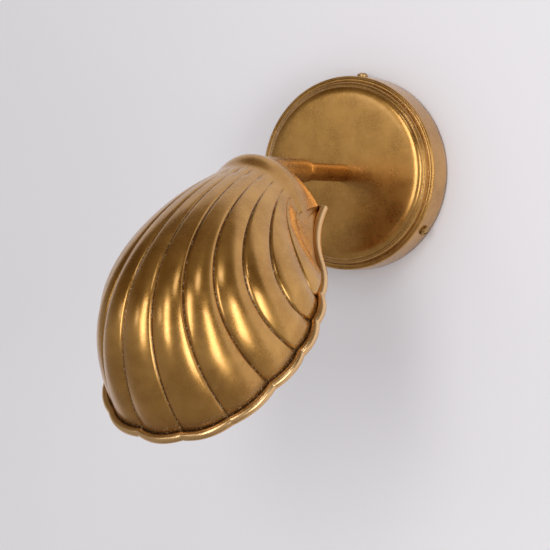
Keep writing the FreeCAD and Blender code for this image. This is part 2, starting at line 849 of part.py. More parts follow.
def shell_net():
    """Columns of poles, groove and rib by turns, with each pole's outward normal."""
    indices = [i for i in range(-8, 9) if i]
    grooves = [groove_column(i) for i in indices]
    last = len(grooves) - 1
    columns = []
    normals = []
    for i in range(last):
        left = grooves[i]
        right = grooves[i + 1]
        before = grooves[i - 1] if i else None
        after = grooves[i + 2] if i + 2 <= last else None
        angle = (i - (last - 1) / 2) * STEP
        rib = rib_column(left, right, angle, before, after)
        end_rib = before is None or after is None
        faces = []
        for row in range(LAST_ROW + 1):
            ahead = rib[min(row + 1, LAST_ROW)]
            behind = rib[max(row - 1, 0)]
            faces.append(outward(ahead - behind, right[row] - left[row],
                                 row in (0, LAST_ROW)))
        depth = size("flute_depth") * (END_RIB_SHARE if end_rib else 1.0)
        raised = [p + n * (depth * k) for p, n, k in zip(rib, faces, RIB_RISE)]
        columns += [left, raised]
        normals += [None, faces]
    columns.append(grooves[last])
    normals.append(None)
    for i in range(0, len(columns), 2):
        if i in (0, len(columns) - 1):
            side = V(-1 if i == 0 else 1, 0, 0)
            normals[i] = [side] * (LAST_ROW + 1)
        else:
            normals[i] = [(a + b).normalize() for a, b in zip(normals[i - 1], normals[i + 1])]
    return columns, normals


def curve_point(poles, share):
    """A point on the curve that its poles control."""
    while len(poles) > 1:
        poles = [a + (b - a) * share for a, b in zip(poles, poles[1:])]
    return poles[0]


def hoops(columns, cap_steps, dome_steps):
    """Rows round the shell, from the heel's edge over the crown to the mouth.

    Both side columns end in the same corner, so past the crown they go back down the
    points that they came up by and then stay there.
    """
    rows = [[curve_point(column[:4], k / cap_steps) for column in columns]
            for k in range(cap_steps)]
    rows += [[curve_point(column[3:], k / dome_steps) for column in columns]
             for k in range(dome_steps + 1)]
    for k in range(dome_steps + 1):
        for end in (0, -1):
            rows[cap_steps + k][end] = rows[max(cap_steps - k, 0)][end]
    return rows


def row_points(row):
    """The points of a row: each rib's curve in RIB_FACETS chords, the two sides straight."""
    points = []
    last = len(row) - 3
    for i in range(0, last + 1, 2):
        parts = 1 if i in (0, last) else RIB_FACETS
        points += [curve_point(row[i:i + 3], j / parts) for j in range(parts)]
    return points + [row[-1]]


def row_edges(row):
    """The straight edges along a row."""
    points = row_points(row)
    return [Part.makeLine(a, b) for a, b in zip(points, points[1:])]


def field_faces(first, second, third, fourth):
    """Two flat faces for a four-cornered field, or one for a three-cornered field."""
    faces = []
    for field in ((first, second, third), (first, third, fourth)):
        if min((a - b).Length for a, b in zip(field, field[1:] + field[:1])) > 1e-6:
            faces.append(Part.Face(Part.makePolygon(list(field) + [field[0]])))
    return faces


def bands(rows):
    """The faces from each row to the next."""
    faces = []
    for row, following in zip(rows, rows[1:]):
        near = row_points(row)
        far = row_points(following)
        middle = len(near) // 2
        for i in range(len(near) - 1):
            if i < middle:
                faces += field_faces(near[i], near[i + 1], far[i + 1], far[i])
            else:
                faces += field_faces(near[i + 1], near[i], far[i], far[i + 1])
    return faces


def solid_of(faces):
    """Sew faces into a closed solid with its normals outwards."""
    shell = Part.makeShell(faces)
    shell.sewShape()
    solid = Part.makeSolid(shell)
    if solid.Volume < 0:
        solid.reverse()
    if not solid.isValid() or not solid.isClosed():
        raise ValueError("the shell is not a closed solid")
    return solid


def lip_scale(column, count, row):
    """How far the lip stands out: full round the mouth, slight behind the heel."""
    if row == LAST_ROW:
        return 1.0
    inset = min(column, count - 1 - column)
    return max(HEEL_LIP_LEAST, 1.0 - HEEL_LIP_TAPER * inset)


def lip_points(edge, out, reach, inside):
    """The section of the lip at one pole, from the outer skin round to the inner one."""
    up = V(0, 0, 1)
    section = [edge + out * (reach * part) + up * (size(name) * share)
               for part, name, share in LIP_SECTION]
    return [edge] + section + [inside]


def make_lip(columns, normals, inner, row):
    """The faces of the lip along one edge; the inner skin's poles there go to its foot."""
    count = len(columns)
    foot = V(0, 0, size("lip_drop") * LIP_ROOT_DROP)
    rings = []
    for column in range(count):
        edge = columns[column][row]
        normal = normals[column][row]
        at_corner = column in (0, count - 1)
        out = V(normal.x, CORNER_SLANT, 0).normalize() if at_corner else normal
        inner[column][row] = edge - normal * size("shade_wall") - foot
        reach = size("lip_width") * lip_scale(column, count, row)
        rings.append(lip_points(edge, out, reach, inner[column][row]))
    return bands([list(ring) for ring in zip(*rings)])


def make_skins():
    """The shade's fluted wall with its rolled lip, and the solid under its outer skin."""
    columns, normals = shell_net()
    wall = size("shade_wall")
    inner = [[p - n * wall for p, n in zip(c, m)] for c, m in zip(columns, normals)]
    lip_faces = []
    for row in (0, LAST_ROW):
        lip_faces += make_lip(columns, normals, inner, row)
    outer_rows = hoops(columns, CAP_STEPS, DOME_STEPS)
    outer_faces = bands(outer_rows)
    inner_faces = bands(hoops(inner, CAP_STEPS, INNER_STEPS))
    floor = Part.Face(Part.Wire(Part.__sortEdges__(
        row_edges(outer_rows[0]) + row_edges(outer_rows[-1]))))
    return solid_of(outer_faces + lip_faces + inner_faces), solid_of(outer_faces + [floor])


def arm_rod(radius, start, end):
    """A rod on the arm's axis, as seen from the shade's frame."""
    rod = Part.makeCylinder(radius, end - start, V(0, 0, start))
    rod.Placement = shade_frame().inverse().multiply(ARM_FRAME)
    return rod


def make_shade(wall_solid, skin):
    """The fluted shell with the boss and tab inside its heel that take the bolt and strap."""
    outside = amount(COLLAR_START)
    end = amount(BOSS_END)
    boss = arm_rod(size("boss_radius"), outside, end)
    tab = Part.makeBox(size("boss_tab_width"), size("boss_tab_drop"), size("boss_tab_gauge"),
                       V(-size("boss_tab_width") / 2, -size("boss_tab_drop"),
                         end - size("boss_tab_gauge")))
    tab.Placement = shade_frame().inverse().multiply(ARM_FRAME)
    inside = boss.fuse(tab).common(skin)
    shape = wall_solid.fuse(inside)
    shape = shape.cut(arm_rod(size("bolt_radius") + size("thread_gap"), outside,
                              end + size("boss_length")))
    tapping = Part.makeCylinder(size("strap_screw_radius") + size("thread_gap"),
                                size("strap_screw_length"),
                                V(0, -size("strap_screw_drop"),
                                  end - size("strap_screw_length") + size("strap_gauge")))
    tapping.Placement = shade_frame().inverse().multiply(ARM_FRAME)
    shape = shape.cut(tapping)
    shade = doc.addObject("Part::Feature", "Body_shade")
    shade.Shape = max(shape.Solids, key=lambda solid: solid.Volume)
    node(shade, "shell_shade", shade_frame())


# ------------------------------------------------------------------ lampholder and bulb

def make_strap():
    """A bent strap: one leg on the boss's tab, the other square to the lampholder."""
    width = size("strap_width")
    gauge = size("strap_gauge")
    bend = strap_bend()
    flat = Part.makeBox(width, size("strap_drop") - size("strap_rise"), gauge,
                        V(-width / 2, -size("strap_drop"), bend.z - gauge / 2))
    leg = Part.makeBox(width, size("strap_leg"), gauge, V(-width / 2, 0, -gauge / 2))
    turn = FreeCAD.Rotation(V(1, 0, 0), size("shade_tilt"))
    leg.Placement = FreeCAD.Placement(bend, turn)
    knee = Part.makeCylinder(gauge / 2, width, bend - V(width / 2, 0, 0), V(1, 0, 0))
    shape = flat.fuse([leg, knee])
    screw = Part.makeCylinder(size("strap_screw_radius") + size("hole_gap"), 4 * gauge,
                              V(0, -size("strap_screw_drop"), bend.z - 2 * gauge))
    shape = shape.cut(screw)
    to_leg = ARM_FRAME.inverse().multiply(holder_frame())
    spacing = size("holder_screw_spacing") / 2
    holes = [(spacing, 0, size("holder_screw_radius") + size("hole_gap")),
             (-spacing, 0, size("holder_screw_radius") + size("hole_gap")),
             (0, flex_rise(), size("flex_radius") + size("hole_gap"))]
    for across, up, radius in holes:
        hole = Part.makeCylinder(radius, 4 * gauge, V(across, up, -2 * gauge))
        hole.Placement = to_leg
        shape = shape.cut(hole)
    strap = doc.addObject("Part::Feature", "Body_strap")
    strap.Shape = shape.removeSplitter()
    node(strap, "holder_strap")
    place = ARM_FRAME.multiply(FreeCAD.Placement(V(0, -size("strap_screw_drop"), 0),
                                                 FreeCAD.Rotation()))
    headed_screw("strap_screw", "strap_screw_radius", STRAP_FRONT, "strap_screw_length",
                 "strap_screw_head_radius", "strap_screw_head_height", place)


def bend_points(start, turn, radius):
    """Points of an arc in the arm frame's YZ plane that leaves start along +Z or -Z.

    A positive turn bends an outward run down; a negative one bends an inward run down.
    """
    way = math.copysign(1.0, turn)
    angles = [abs(turn) * k / FLEX_BEND_STEPS for k in range(FLEX_BEND_STEPS + 1)]
    return [start + V(0, -radius * (1 - math.cos(a)), way * radius * math.sin(a)) for a in angles]


def shade_flex_points():
    """The flex in the shade, in the arm frame: out of the swivel, one bend, into the holder."""
    tilt = math.radians(size("shade_tilt"))
    start = V(0, 0, amount(JOURNAL_END + " + flex_gap"))
    bend = V(0, 0, amount(BOSS_END + " + hole_gap"))
    arc = bend_points(bend, tilt, size("holder_bend_radius"))
    heading = V(0, -math.sin(tilt), math.cos(tilt))
    frame = ARM_FRAME.inverse().multiply(holder_frame())
    depth = frame.inverse().multVec(arc[-1]).z
    return [start] + arc + [arc[-1] + heading * (size("holder_back_length") - depth)]


def arm_flex_points():
    """The flex in the arm: from the swivel back to the wall, down and into the block."""
    radius = size("flex_bend_radius")
    start = V(0, 0, amount(JOURNAL_END))
    arc = bend_points(V(0, 0, size("entry_distance") + radius), -math.pi / 2, radius)
    reach = size("block_drop") + size("entry_depth") - size("flex_end_gap")
    return [start] + arc + [V(0, -reach, arc[-1].z)]


def flex_rise():
    """How far above the holder's axis the flex comes through the strap."""
    frame = ARM_FRAME.inverse().multiply(holder_frame())
    return frame.inverse().multVec(shade_flex_points()[-1]).y


def flex_ring(point, before, after):
    """The section of a flex at a point of its route, in the plane that halves the turn."""
    run = ((point - before).normalize() if before else V(0, 0, 0))
    ahead = ((after - point).normalize() if after else V(0, 0, 0))
    heading = (run + ahead).normalize()
    across = V(1, 0, 0)
    up = heading.cross(across)
    stretch = 1 / heading.dot(run if before else ahead)
    radius = size("flex_radius")
    angles = [2 * math.pi * (k + 0.5) / FLEX_SIDES for k in range(FLEX_SIDES)]
    return [point + across * (radius * math.cos(a)) + up * (radius * stretch * math.sin(a))
            for a in angles]


def flex_solid(points):
    """A flex of straight runs with mitred joints, its section a regular polygon."""
    before = [None] + points[:-1]
    after = points[1:] + [None]
    rings = [flex_ring(*spot) for spot in zip(points, before, after)]
    faces = [Part.Face(Part.makePolygon(ring + [ring[0]])) for ring in (rings[0], rings[-1])]
    for near, far in zip(rings, rings[1:]):
        for i in range(FLEX_SIDES):
            j = (i + 1) % FLEX_SIDES
            faces.append(Part.Face(Part.makePolygon([near[i], near[j], far[j], far[i], near[i]])))
    return solid_of(faces)


def make_flexes():
    """The sheathed flex along the arm, in two lengths that meet in the swivel."""
    for label, points in (("arm_flex", arm_flex_points()), ("shade_flex", shade_flex_points())):
        flex = doc.addObject("Part::Feature", "Body_" + label)
        flex.Shape = flex_solid(points)
        node(flex, label)


def make_holder():
    """A moulded lampholder with a lined mouth, screwed to the strap."""
    body = new_body("lampholder")
    back = "holder_back_length"
    skirt = "holder_length - holder_skirt_length"
    floor = "holder_length - holder_mouth_depth"
    revolve(body, [
        ("0", "0"),
        ("holder_back_radius", "0"),
        ("holder_back_radius", back),
        ("holder_radius", back),
        ("holder_radius", skirt),
        ("holder_skirt_radius", skirt),
        ("holder_skirt_radius", "holder_length"),
        ("holder_mouth_radius", "holder_length"),
        ("holder_mouth_radius", floor),
        ("0", floor),
    ])
    pocket_sketch = new_sketch(body, "XY_Plane", "flex_entry")
    index = pocket_sketch.addGeometry(
        Part.Circle(V(0, flex_rise(), 0), V(0, 0, 1), amount("flex_radius + hole_gap")), False)
    pocket_sketch.addConstraint(Sketcher.Constraint("PointOnObject", index, 3, -2))
    pocket_sketch.addConstraint(Sketcher.Constraint("DistanceY", -1, 1, index, 3, flex_rise()))
    radius = Sketcher.Constraint("Radius", index, amount("flex_radius + hole_gap"))
    tie(pocket_sketch, radius, bound("flex_radius + hole_gap"))
    pocket(body, pocket_sketch, "flex_entry_cut", back)
    middles = {"right": "holder_screw_spacing/2", "left": "0 - holder_screw_spacing/2"}
    for where, middle in middles.items():
        drill(body, "XY_Plane", "screw_hole_" + where, middle, "0",
              "holder_screw_radius + thread_gap", "holder_screw_length")
    node(body, "lampholder", holder_frame())
    liner = "holder_mouth_radius - thread_gap"
    tube("holder_contact_sleeve", liner + " - contact_gauge", liner, floor + " + sleeve_inset",
         "holder_length - sleeve_inset", holder_frame())
    tube("holder_centre_contact", "0", "holder_mouth_radius/3", floor,
         floor + " + contact_gauge", holder_frame())
    behind = FreeCAD.Rotation(V(1, 0, 0), 180)
    for where, side in (("right", 0.5), ("left", -0.5)):
        across = side * size("holder_screw_spacing")
        place = FreeCAD.Placement(V(across, 0, 0), behind)
        headed_screw("holder_screw_" + where, "holder_screw_radius", "strap_gauge",
                     "holder_screw_length", "holder_screw_head_radius",
                     "holder_screw_head_height", holder_frame().multiply(place))


def make_bulb():
    """A small tubular bulb: screw cap and frosted glass."""
    mouth = "holder_length"
    cap_start = mouth + " - bulb_cap_length"
    tip = mouth + " + bulb_length"
    turned("bulb_cap", [
        ("0", cap_start + " + contact_gauge"),
        ("bulb_cap_radius/3", cap_start + " + contact_gauge"),
        ("bulb_cap_radius", cap_start + " + cap_nose"),
        ("bulb_cap_radius", mouth + " + cap_overhang"),
        ("0", mouth + " + cap_overhang"),
    ], holder_frame())
    turned("bulb_glass", [
        ("0", mouth + " + cap_overhang"),
        ("bulb_neck_radius", mouth + " + cap_overhang"),
        ("bulb_radius", mouth + " + bulb_taper"),
        ("bulb_radius", tip + " - bulb_radius/2"),
        ("bulb_radius/2", tip),
        ("0", tip),
    ], holder_frame())


# ------------------------------------------------------------------ the whole lamp

def check():
    """Stop before writing if any feature failed."""
    doc.recompute()
    for feature in doc.Objects:
        if "Invalid" in feature.State or "Error" in feature.State:
            raise ValueError(feature.Name + " " + str(feature.State))
    for feature in nodes:
        if feature.Shape.isNull() or not feature.Shape.isValid():
            raise ValueError(feature.Label + " has no valid shape")


def main():
    make_bracket()
    make_canopy()
    make_side_screws()
    make_terminal_block()
    make_terminal_screws()
    make_block_and_earth_screws()
    make_arm()
    make_swivel()
    wall_solid, skin = make_skins()
    make_collar(skin)
    make_shade_bolt()
    make_shade(wall_solid, skin)
    make_strap()
    make_holder()
    make_bulb()
    make_flexes()
    check()
    os.makedirs("parts", exist_ok=True)
    for feature in nodes:
        feature.Shape.exportStep(os.path.join("parts", feature.Label + ".step"))
    print(len(nodes), "sub-parts")


main()
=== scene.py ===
"""Shell wall sconce in aged brass, dressed for its picture.

Everything is in metres in the part's own frame: the wall is the plane y = 0, the arm runs out
along -y and z is up.  The shade's own frame has its origin at the front of the mouth, y back to
the heel and z up into the dome; the lampholder's frame has z along the holder.
"""
import json
import math

import bmesh
import bpy
import numpy as np
from mathutils import Matrix, Vector
from mathutils.bvhtree import BVHTree


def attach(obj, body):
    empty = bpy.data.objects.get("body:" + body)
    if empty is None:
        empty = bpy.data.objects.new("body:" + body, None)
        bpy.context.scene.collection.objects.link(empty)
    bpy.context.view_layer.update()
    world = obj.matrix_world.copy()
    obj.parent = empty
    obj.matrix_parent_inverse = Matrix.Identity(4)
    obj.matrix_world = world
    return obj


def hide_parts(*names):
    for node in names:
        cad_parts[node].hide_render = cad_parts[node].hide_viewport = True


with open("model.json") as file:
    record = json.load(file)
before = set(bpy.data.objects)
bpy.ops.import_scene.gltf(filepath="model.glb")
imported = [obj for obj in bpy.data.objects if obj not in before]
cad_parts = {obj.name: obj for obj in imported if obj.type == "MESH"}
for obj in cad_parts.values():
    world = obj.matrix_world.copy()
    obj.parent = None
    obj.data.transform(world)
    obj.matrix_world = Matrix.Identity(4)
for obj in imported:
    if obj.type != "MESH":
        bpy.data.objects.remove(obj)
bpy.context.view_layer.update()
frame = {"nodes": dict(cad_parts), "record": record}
MM = 0.001

# ---------------------------------------------------------------- sizes, in millimetres

CANOPY_DEPTH = 24.0
COLLAR_START = 67.0
SEAT = 115.0
BOSS_END = 126.0
SHADE_TILT = 45.0
SEAT_HEIGHT = 25.5
STRAP_DROP = 26.0
STRAP_GAUGE = 1.5
HOLDER_OFFSET = 13.5
HOLDER_LENGTH = 40.0
SCREW_TURN = 6.0
ARM_RADIUS = 5.5
ARM_BORE = 4.05
ARM_LENGTH = 64.0
COLLAR_RADIUS = 7.2
COLLAR_BORE = 5.56
COLLAR_LAP = 0.35
SIDE_SCREW_HEIGHT = 8.6
SIDE_SCREW_SEAT = 59.86
BULB_RADIUS = 13.0
BOSS_BORE = 5.02
BOSS_RADIUS = 8.6
PROBE_START = 90.0

FLUTES = 15
STEP = math.pi / FLUTES

# Rows of poles, counted from the heel's edge: the crown, the back and front hoops, the mouth.
CREST_ROW = 3
DOME_ROWS = (4, 5)
LAST_ROW = 6

MOUTH_HALF_WIDTH = 56.5
MOUTH_LENGTH = 160.0
HEEL = {"overhang": 6.0, "half_width": 28.0, "height": 55.0, "step": 3.0, "bulge": 2.0,
        "swell": 3.0, "spread": 1.03}
SHADE_WALL = 1.6
FLUTE_DEPTH = 3.0
LIP_WIDTH = 5.0
LIP_DROP = 3.0
LIP_CROWN = 1.6
LIP_LOBE = {"rib": 1.04, "groove": 0.92}
HEEL_LIP = 0.3
HEEL_LIP_FADE = 0.35
RIB_CROWN = 0.55

# Half outline of the mouth at the ends of the grooves, as parts of its half width and length.
MOUTH_OUTLINE = ((0.22, 0.0), (0.63, 0.07), (0.87, 0.215), (1.0, 0.35),
                 (1.0, 0.48), (0.92, 0.595), (0.755, 0.745))

# Each hoop of poles: half width, length, height, sweep, swell, power of the sweep, share of
# the height lost at the sides and power of that loss.
HOOPS = {"crown": (32.4, 146.8, 46.0, -7.0, 0.0, 1.0, 0.69, 1.0),
         "back": (30.4, 88.8, 77.0, 38.0, 0.335, 0.95, 1.14, 1.16),
         "front": (80.8, 6.8, 87.6, 110.0, -0.156, 0.88, 1.36, 1.1)}
CREST_SHARE = 0.17
RIB_RISE = (0.0, 0.0, 0.0, 0.0, -0.3, 2.3, 1.0)
END_RIB_SHARE = 0.3

# How far the poles of the last grooves and of the end ribs are drawn in towards the lip:
# (across, along, up) by groove and row, and across alone by row of an end rib.
DRAWN_IN = {6: {4: (-3.5, 9.6, 11.3), 5: (-1.6, -0.3, -8.1)},
            7: {4: (-4.2, 9.1, 7.0), 5: (-19.6, 8.2, 0.7)}}
END_RIB_DRAWN_IN = {4: -3.0, 5: -8.0, 6: -7.8}

# The chased lines, each with a raised shoulder, and the dents where they start: depth or height
# and reach from the groove in millimetres, and where along the dome they come in.
LINE = {"depth": 0.42, "reach": 0.55, "start": 0.02, "full": 0.22}
SHOULDER = {"height": 0.10, "gap": 1.5, "reach": 0.7}
DENT = {"depth": 0.75, "reach": 1.3, "place": 0.035, "length": 0.022}
DIRT_REACH = 0.40
TURNED_DIRT = 0.6
NO_GROOVE = 99.0

# Aged brass: the metal in its patches, then what lies over it in clouds, spots and grooves, and a
# pale colour that is partly rubbed wear and partly a painted highlight.
BRASS = {"deep": (0.48, 0.246, 0.058), "light": (0.63, 0.344, 0.092),
         "brown": (0.40, 0.180, 0.040), "worn": (0.74, 0.450, 0.190),
         "stain": (0.36, 0.170, 0.048), "rubbed_and_painted_highlight": (0.90, 0.60, 0.30),
         "dirt": (0.060, 0.036, 0.020), "speck": (0.85, 0.72, 0.48)}

# The wall board's edges in metres, how far it lies behind the mounting plane, and its colour.
BOARD_SIDES = (-1.1, 1.1)
BOARD_ENDS = (-0.8, 0.5)
BOARD_DEPTH = 0.0006
WALL_COLOUR = (0.66, 0.645, 0.665)

# The photograph's camera, in metres, its focal length as a part of the film's width, and the
# point that the lamps are turned to.
CAMERA_PLACE = (0.469289, -0.882603, -0.027922)
CAMERA_AIM = (0.0, -0.10293, -0.06018)
FOCAL_LENGTH = 1594 / 550
FILM_WIDTH = 36.0
SHADE_MIDDLE = (0, -0.15, -0.08)


# ---------------------------------------------------------------- materials

class Paint:
    """A material under construction."""

    def __init__(self, name, metallic=0.0, roughness=0.4):
        self.material = bpy.data.materials.new(name)
        self.material.use_nodes = True
        self.tree = self.material.node_tree
        self.shader = self.tree.nodes["Principled BSDF"]
        self.shader.inputs["Metallic"].default_value = metallic
        self.shader.inputs["Roughness"].default_value = roughness
        self.place = self.add("ShaderNodeTexCoord").outputs["Object"]

    def add(self, kind, **settings):
        """A new node with its settings."""
        node = self.tree.nodes.new(kind)
        for name, value in settings.items():
            setattr(node, name, value)
        return node

    def link(self, source, target):
        """Join two sockets."""
        self.tree.links.new(source, target)

    def feed(self, socket, value):
        """Set a socket to a number or a colour, or join it to another socket."""
        if isinstance(value, (int, float)):
            socket.default_value = value
        elif isinstance(value, (tuple, list)):
            socket.default_value = (*value, 1.0)[:4]
        else:
            self.link(value, socket)

    def noise(self, scale, detail=4.0, roughness=0.5, stretch=(1, 1, 1), distortion=0.0):
        """Cloudy noise, finer as scale rises; scale is in features per metre."""
        spread = self.add("ShaderNodeMapping")
        spread.inputs["Scale"].default_value = stretch
        self.link(self.place, spread.inputs["Vector"])
        cloud = self.add("ShaderNodeTexNoise")
        self.link(spread.outputs["Vector"], cloud.inputs["Vector"])
        cloud.inputs["Scale"].default_value = scale
        cloud.inputs["Detail"].default_value = detail
        cloud.inputs["Roughness"].default_value = roughness
        cloud.inputs["Distortion"].default_value = distortion
        return cloud.outputs["Fac"]

    def ramp(self, value, low, high, start=0.0, end=1.0):
        """Value from low to high, eased to the range start to end."""
        node = self.add("ShaderNodeMapRange", interpolation_type="SMOOTHSTEP")
        self.feed(node.inputs["Value"], value)
        node.inputs["From Min"].default_value = low
        node.inputs["From Max"].default_value = high
        node.inputs["To Min"].default_value = start
        node.inputs["To Max"].default_value = end
        return node.outputs["Result"]

    def math(self, operation, first, second=0.0):
        """The result of an operation on two values."""
        node = self.add("ShaderNodeMath", operation=operation)
        self.feed(node.inputs[0], first)
        self.feed(node.inputs[1], second)
        return node.outputs["Value"]

    def mix(self, share, first, second):
        """A colour from first to second."""
        node = self.add("ShaderNodeMix", data_type="RGBA")
        self.feed(node.inputs["Factor"], share)
        self.feed(node.inputs["A"], first)
        self.feed(node.inputs["B"], second)
        return node.outputs["Result"]

    def attribute(self, name):
        """A value that the mesh carries at its points."""
        return self.add("ShaderNodeAttribute", attribute_name=name).outputs["Fac"]

    def bump(self, *layers):
        """Layers of (height, depth in metres), the coarsest first."""
        normal = None
        for height, depth in layers:
            node = self.add("ShaderNodeBump")
            node.inputs["Strength"].default_value = 1.0
            node.inputs["Distance"].default_value = depth
            self.link(height, node.inputs["Height"])
            if normal:
                self.link(normal, node.inputs["Normal"])
            normal = node.outputs["Normal"]
        self.link(normal, self.shader.inputs["Normal"])

    def colour(self, value):
        """The surface's colour."""
        self.feed(self.shader.inputs["Base Color"], value)

    def roughness(self, value):
        """How dull the surface is."""
        self.feed(self.shader.inputs["Roughness"], value)


def aged_brass():
    """Hand-rubbed antique brass: mottled tan, browner patina in patches and in the grooves, and a
    pale crown on the lip that is partly wear and partly a painted highlight.
    """
    paint = Paint("aged_brass", metallic=1.0)
    broad = paint.noise(16, 4, 0.55, distortion=0.4)
    patches = paint.noise(55, 5, 0.6, distortion=0.3)
    mottle = paint.noise(420, 5, 0.65)
    grain = paint.noise(2400, 3, 0.6)
    specks = paint.noise(1100, 2, 0.5)
    base = paint.mix(paint.ramp(patches, 0.32, 0.70), BRASS["deep"], BRASS["light"])
    base = paint.mix(paint.ramp(broad, 0.45, 0.70, 0.0, 0.35), base, BRASS["brown"])
    base = paint.mix(paint.ramp(mottle, 0.50, 0.74, 0.0, 0.25), base, BRASS["worn"])
    base = paint.mix(paint.ramp(mottle, 0.28, 0.44, 0.14, 0.0), base, BRASS["stain"])
    mark = paint.attribute("groove")
    # Painted highlight: where the mark is below 0, on the lip's crown, the brass is painted pale,
    # partly as rubbed wear.
    rubbed_and_painted_highlight = paint.math("MAXIMUM", paint.math("MULTIPLY", mark, -0.75), 0.0)
    base = paint.mix(rubbed_and_painted_highlight, base, BRASS["rubbed_and_painted_highlight"])
    groove = paint.math("MAXIMUM", mark, 0.0)
    base = paint.mix(paint.math("MULTIPLY", groove, 0.82), base, BRASS["dirt"])
    pale = paint.math("MULTIPLY", paint.ramp(specks, 0.58, 0.64), groove)
    base = paint.mix(paint.math("MULTIPLY", pale, 0.9), base, BRASS["speck"])
    paint.colour(base)
    rough = paint.ramp(patches, 0.3, 0.7, 0.25, 0.30)
    rough = paint.math("ADD", rough, paint.ramp(mottle, 0.35, 0.7, 0.02, -0.01))
    rough = paint.math("ADD", rough, paint.math("MULTIPLY", groove, 0.35))
    paint.roughness(rough)
    paint.shader.inputs["Coat Weight"].default_value = 0.5
    paint.shader.inputs["Coat Roughness"].default_value = 0.16
    paint.bump((broad, 0.00030), (patches, 0.00003), (mottle, 0.000004), (grain, 0.000002))
    return paint.material


def screw_brass():
    """Turned brass, less aged than the outside, with fine turning marks."""
    paint = Paint("screw_brass", metallic=1.0)
    patches = paint.noise(240, 5, 0.6)
    fine = paint.noise(2600, 3, 0.6)
    base = paint.mix(paint.ramp(patches, 0.35, 0.7), (0.36, 0.21, 0.075), (0.62, 0.42, 0.175))
    paint.colour(base)
    paint.roughness(paint.ramp(patches, 0.3, 0.7, 0.24, 0.40))
    paint.bump((fine, 0.00001))
    return paint.material


def zinc_steel():
    """Zinc-plated steel with a faint blue and yellow passivation."""
    paint = Paint("zinc_steel", metallic=1.0)
    bloom = paint.noise(60, 4, 0.6)
    brushed = paint.noise(900, 4, 0.6, stretch=(1, 1, 0.08))
    base = paint.mix(paint.ramp(bloom, 0.35, 0.7), (0.56, 0.58, 0.60), (0.68, 0.66, 0.60))
    paint.colour(base)
    paint.roughness(paint.ramp(brushed, 0.3, 0.7, 0.30, 0.46))
    paint.bump((brushed, 0.00001))
    return paint.material


def moulded(name, dark, light, rough_low, rough_high):
    """A moulded or pressed non-metal with a fine surface and a little dirt."""
    paint = Paint(name)
    cloud = paint.noise(90, 4, 0.6)
    fine = paint.noise(2200, 3, 0.6)
    paint.colour(paint.mix(paint.ramp(cloud, 0.35, 0.7), dark, light))
    paint.roughness(paint.ramp(fine, 0.3, 0.7, rough_low, rough_high))
    paint.bump((fine, 0.00001))
    return paint.material


def cap_metal():
    """The lamp cap's bright pressed aluminium."""
    paint = Paint("cap_metal", metallic=1.0)
    cloud = paint.noise(300, 4, 0.6)
    paint.colour(paint.mix(paint.ramp(cloud, 0.35, 0.7), (0.70, 0.69, 0.66), (0.82, 0.81, 0.78)))
    paint.roughness(paint.ramp(cloud, 0.3, 0.7, 0.26, 0.40))
    paint.bump((cloud, 0.00002))
    return paint.material


def opal_glass():
    """Frosted opal glass, a little uneven in its coat."""
    paint = Paint("bulb_glass")
    cloud = paint.noise(120, 3, 0.5)
    paint.colour(paint.mix(paint.ramp(cloud, 0.3, 0.7), (0.80, 0.79, 0.75), (0.86, 0.85, 0.82)))
    paint.roughness(paint.ramp(cloud, 0.3, 0.7, 0.22, 0.32))
    paint.shader.inputs["Subsurface Weight"].default_value = 0.25
    paint.shader.inputs["Subsurface Scale"].default_value = 0.004
    paint.bump((cloud, 0.00001))
    return paint.material


MATERIALS = {
    "aged_brass": aged_brass(),
    "screw_brass": screw_brass(),
    "zinc_steel": zinc_steel(),
    "block_plastic": moulded("block_plastic", (0.66, 0.64, 0.58), (0.76, 0.74, 0.69), 0.42, 0.55),
    "fibre": moulded("fibre", (0.22, 0.09, 0.05), (0.34, 0.15, 0.09), 0.55, 0.75),
    "flex_sheath": moulded("flex_sheath", (0.62, 0.61, 0.57), (0.74, 0.73, 0.69), 0.40, 0.55),
    "holder_plastic": moulded("holder_plastic", (0.030, 0.028, 0.026), (0.055, 0.052, 0.048),
                              0.26, 0.40),
    "cap_metal": cap_metal(),
    "bulb_glass": opal_glass(),
}


# ---------------------------------------------------------------- pieces

def arm_frame():
    """x is the part's x, y is its z, and z is the distance out from the wall."""
    return Matrix.Rotation(math.radians(90), 4, "X")


def finish_piece(piece, body, slot, *replaced, angle=38.0):
    """Shade a mesh smooth, give it its finish and its body, and hide the nodes it stands for."""
    for face in piece.data.polygons:
        face.use_smooth = True
    piece.data.set_sharp_from_angle(angle=math.radians(angle))
    piece.data.materials.clear()
    piece.data.materials.append(MATERIALS[slot])
    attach(piece, body)
    if replaced:
        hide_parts(*replaced)
    return piece


def mesh_piece(name, points, faces, place=None):
    """A new object from points in millimetres, in place or in the frame given."""
    mesh = bpy.data.meshes.new(name)
    mesh.from_pydata([tuple(float(c) * MM for c in point) for point in points], [], faces)
    if place is not None:
        mesh.transform(place)
    mesh.update()
    piece = bpy.data.objects.new(name, mesh)
    bpy.context.scene.collection.objects.link(piece)
    return piece


def circle(radius, sides):
    """Points round a circle."""
    turns = [2 * math.pi * k / sides for k in range(sides)]
    return [(radius * math.cos(turn), radius * math.sin(turn)) for turn in turns]


def lathe(name, profile, place, sides=96, closed=True):
    """A turned piece: profile is a loop of (radius, height) round the frame's z."""
    points = []
    faces = []
    rings = []
    for radius, height in profile:
        if radius < 1e-6:
            rings.append([len(points)])
            points.append((0, 0, height))
            continue
        rings.append(range(len(points), len(points) + sides))
        points += [(x, y, height) for x, y in circle(radius, sides)]
    after = rings[1:] + rings[:1] if closed else rings[1:]
    for near, far in zip(rings, after):
        if len(near) == len(far) == 1:
            continue
        for k in range(sides):
            j = (k + 1) % sides
            corners = [near[k % len(near)], near[j % len(near)], far[j % len(far)],
                       far[k % len(far)]]
            face = list(dict.fromkeys(corners))
            if len(face) > 2:
                faces.append(face)
    piece = mesh_piece(name, points, faces, place)
    tidy_mesh(piece)
    return piece


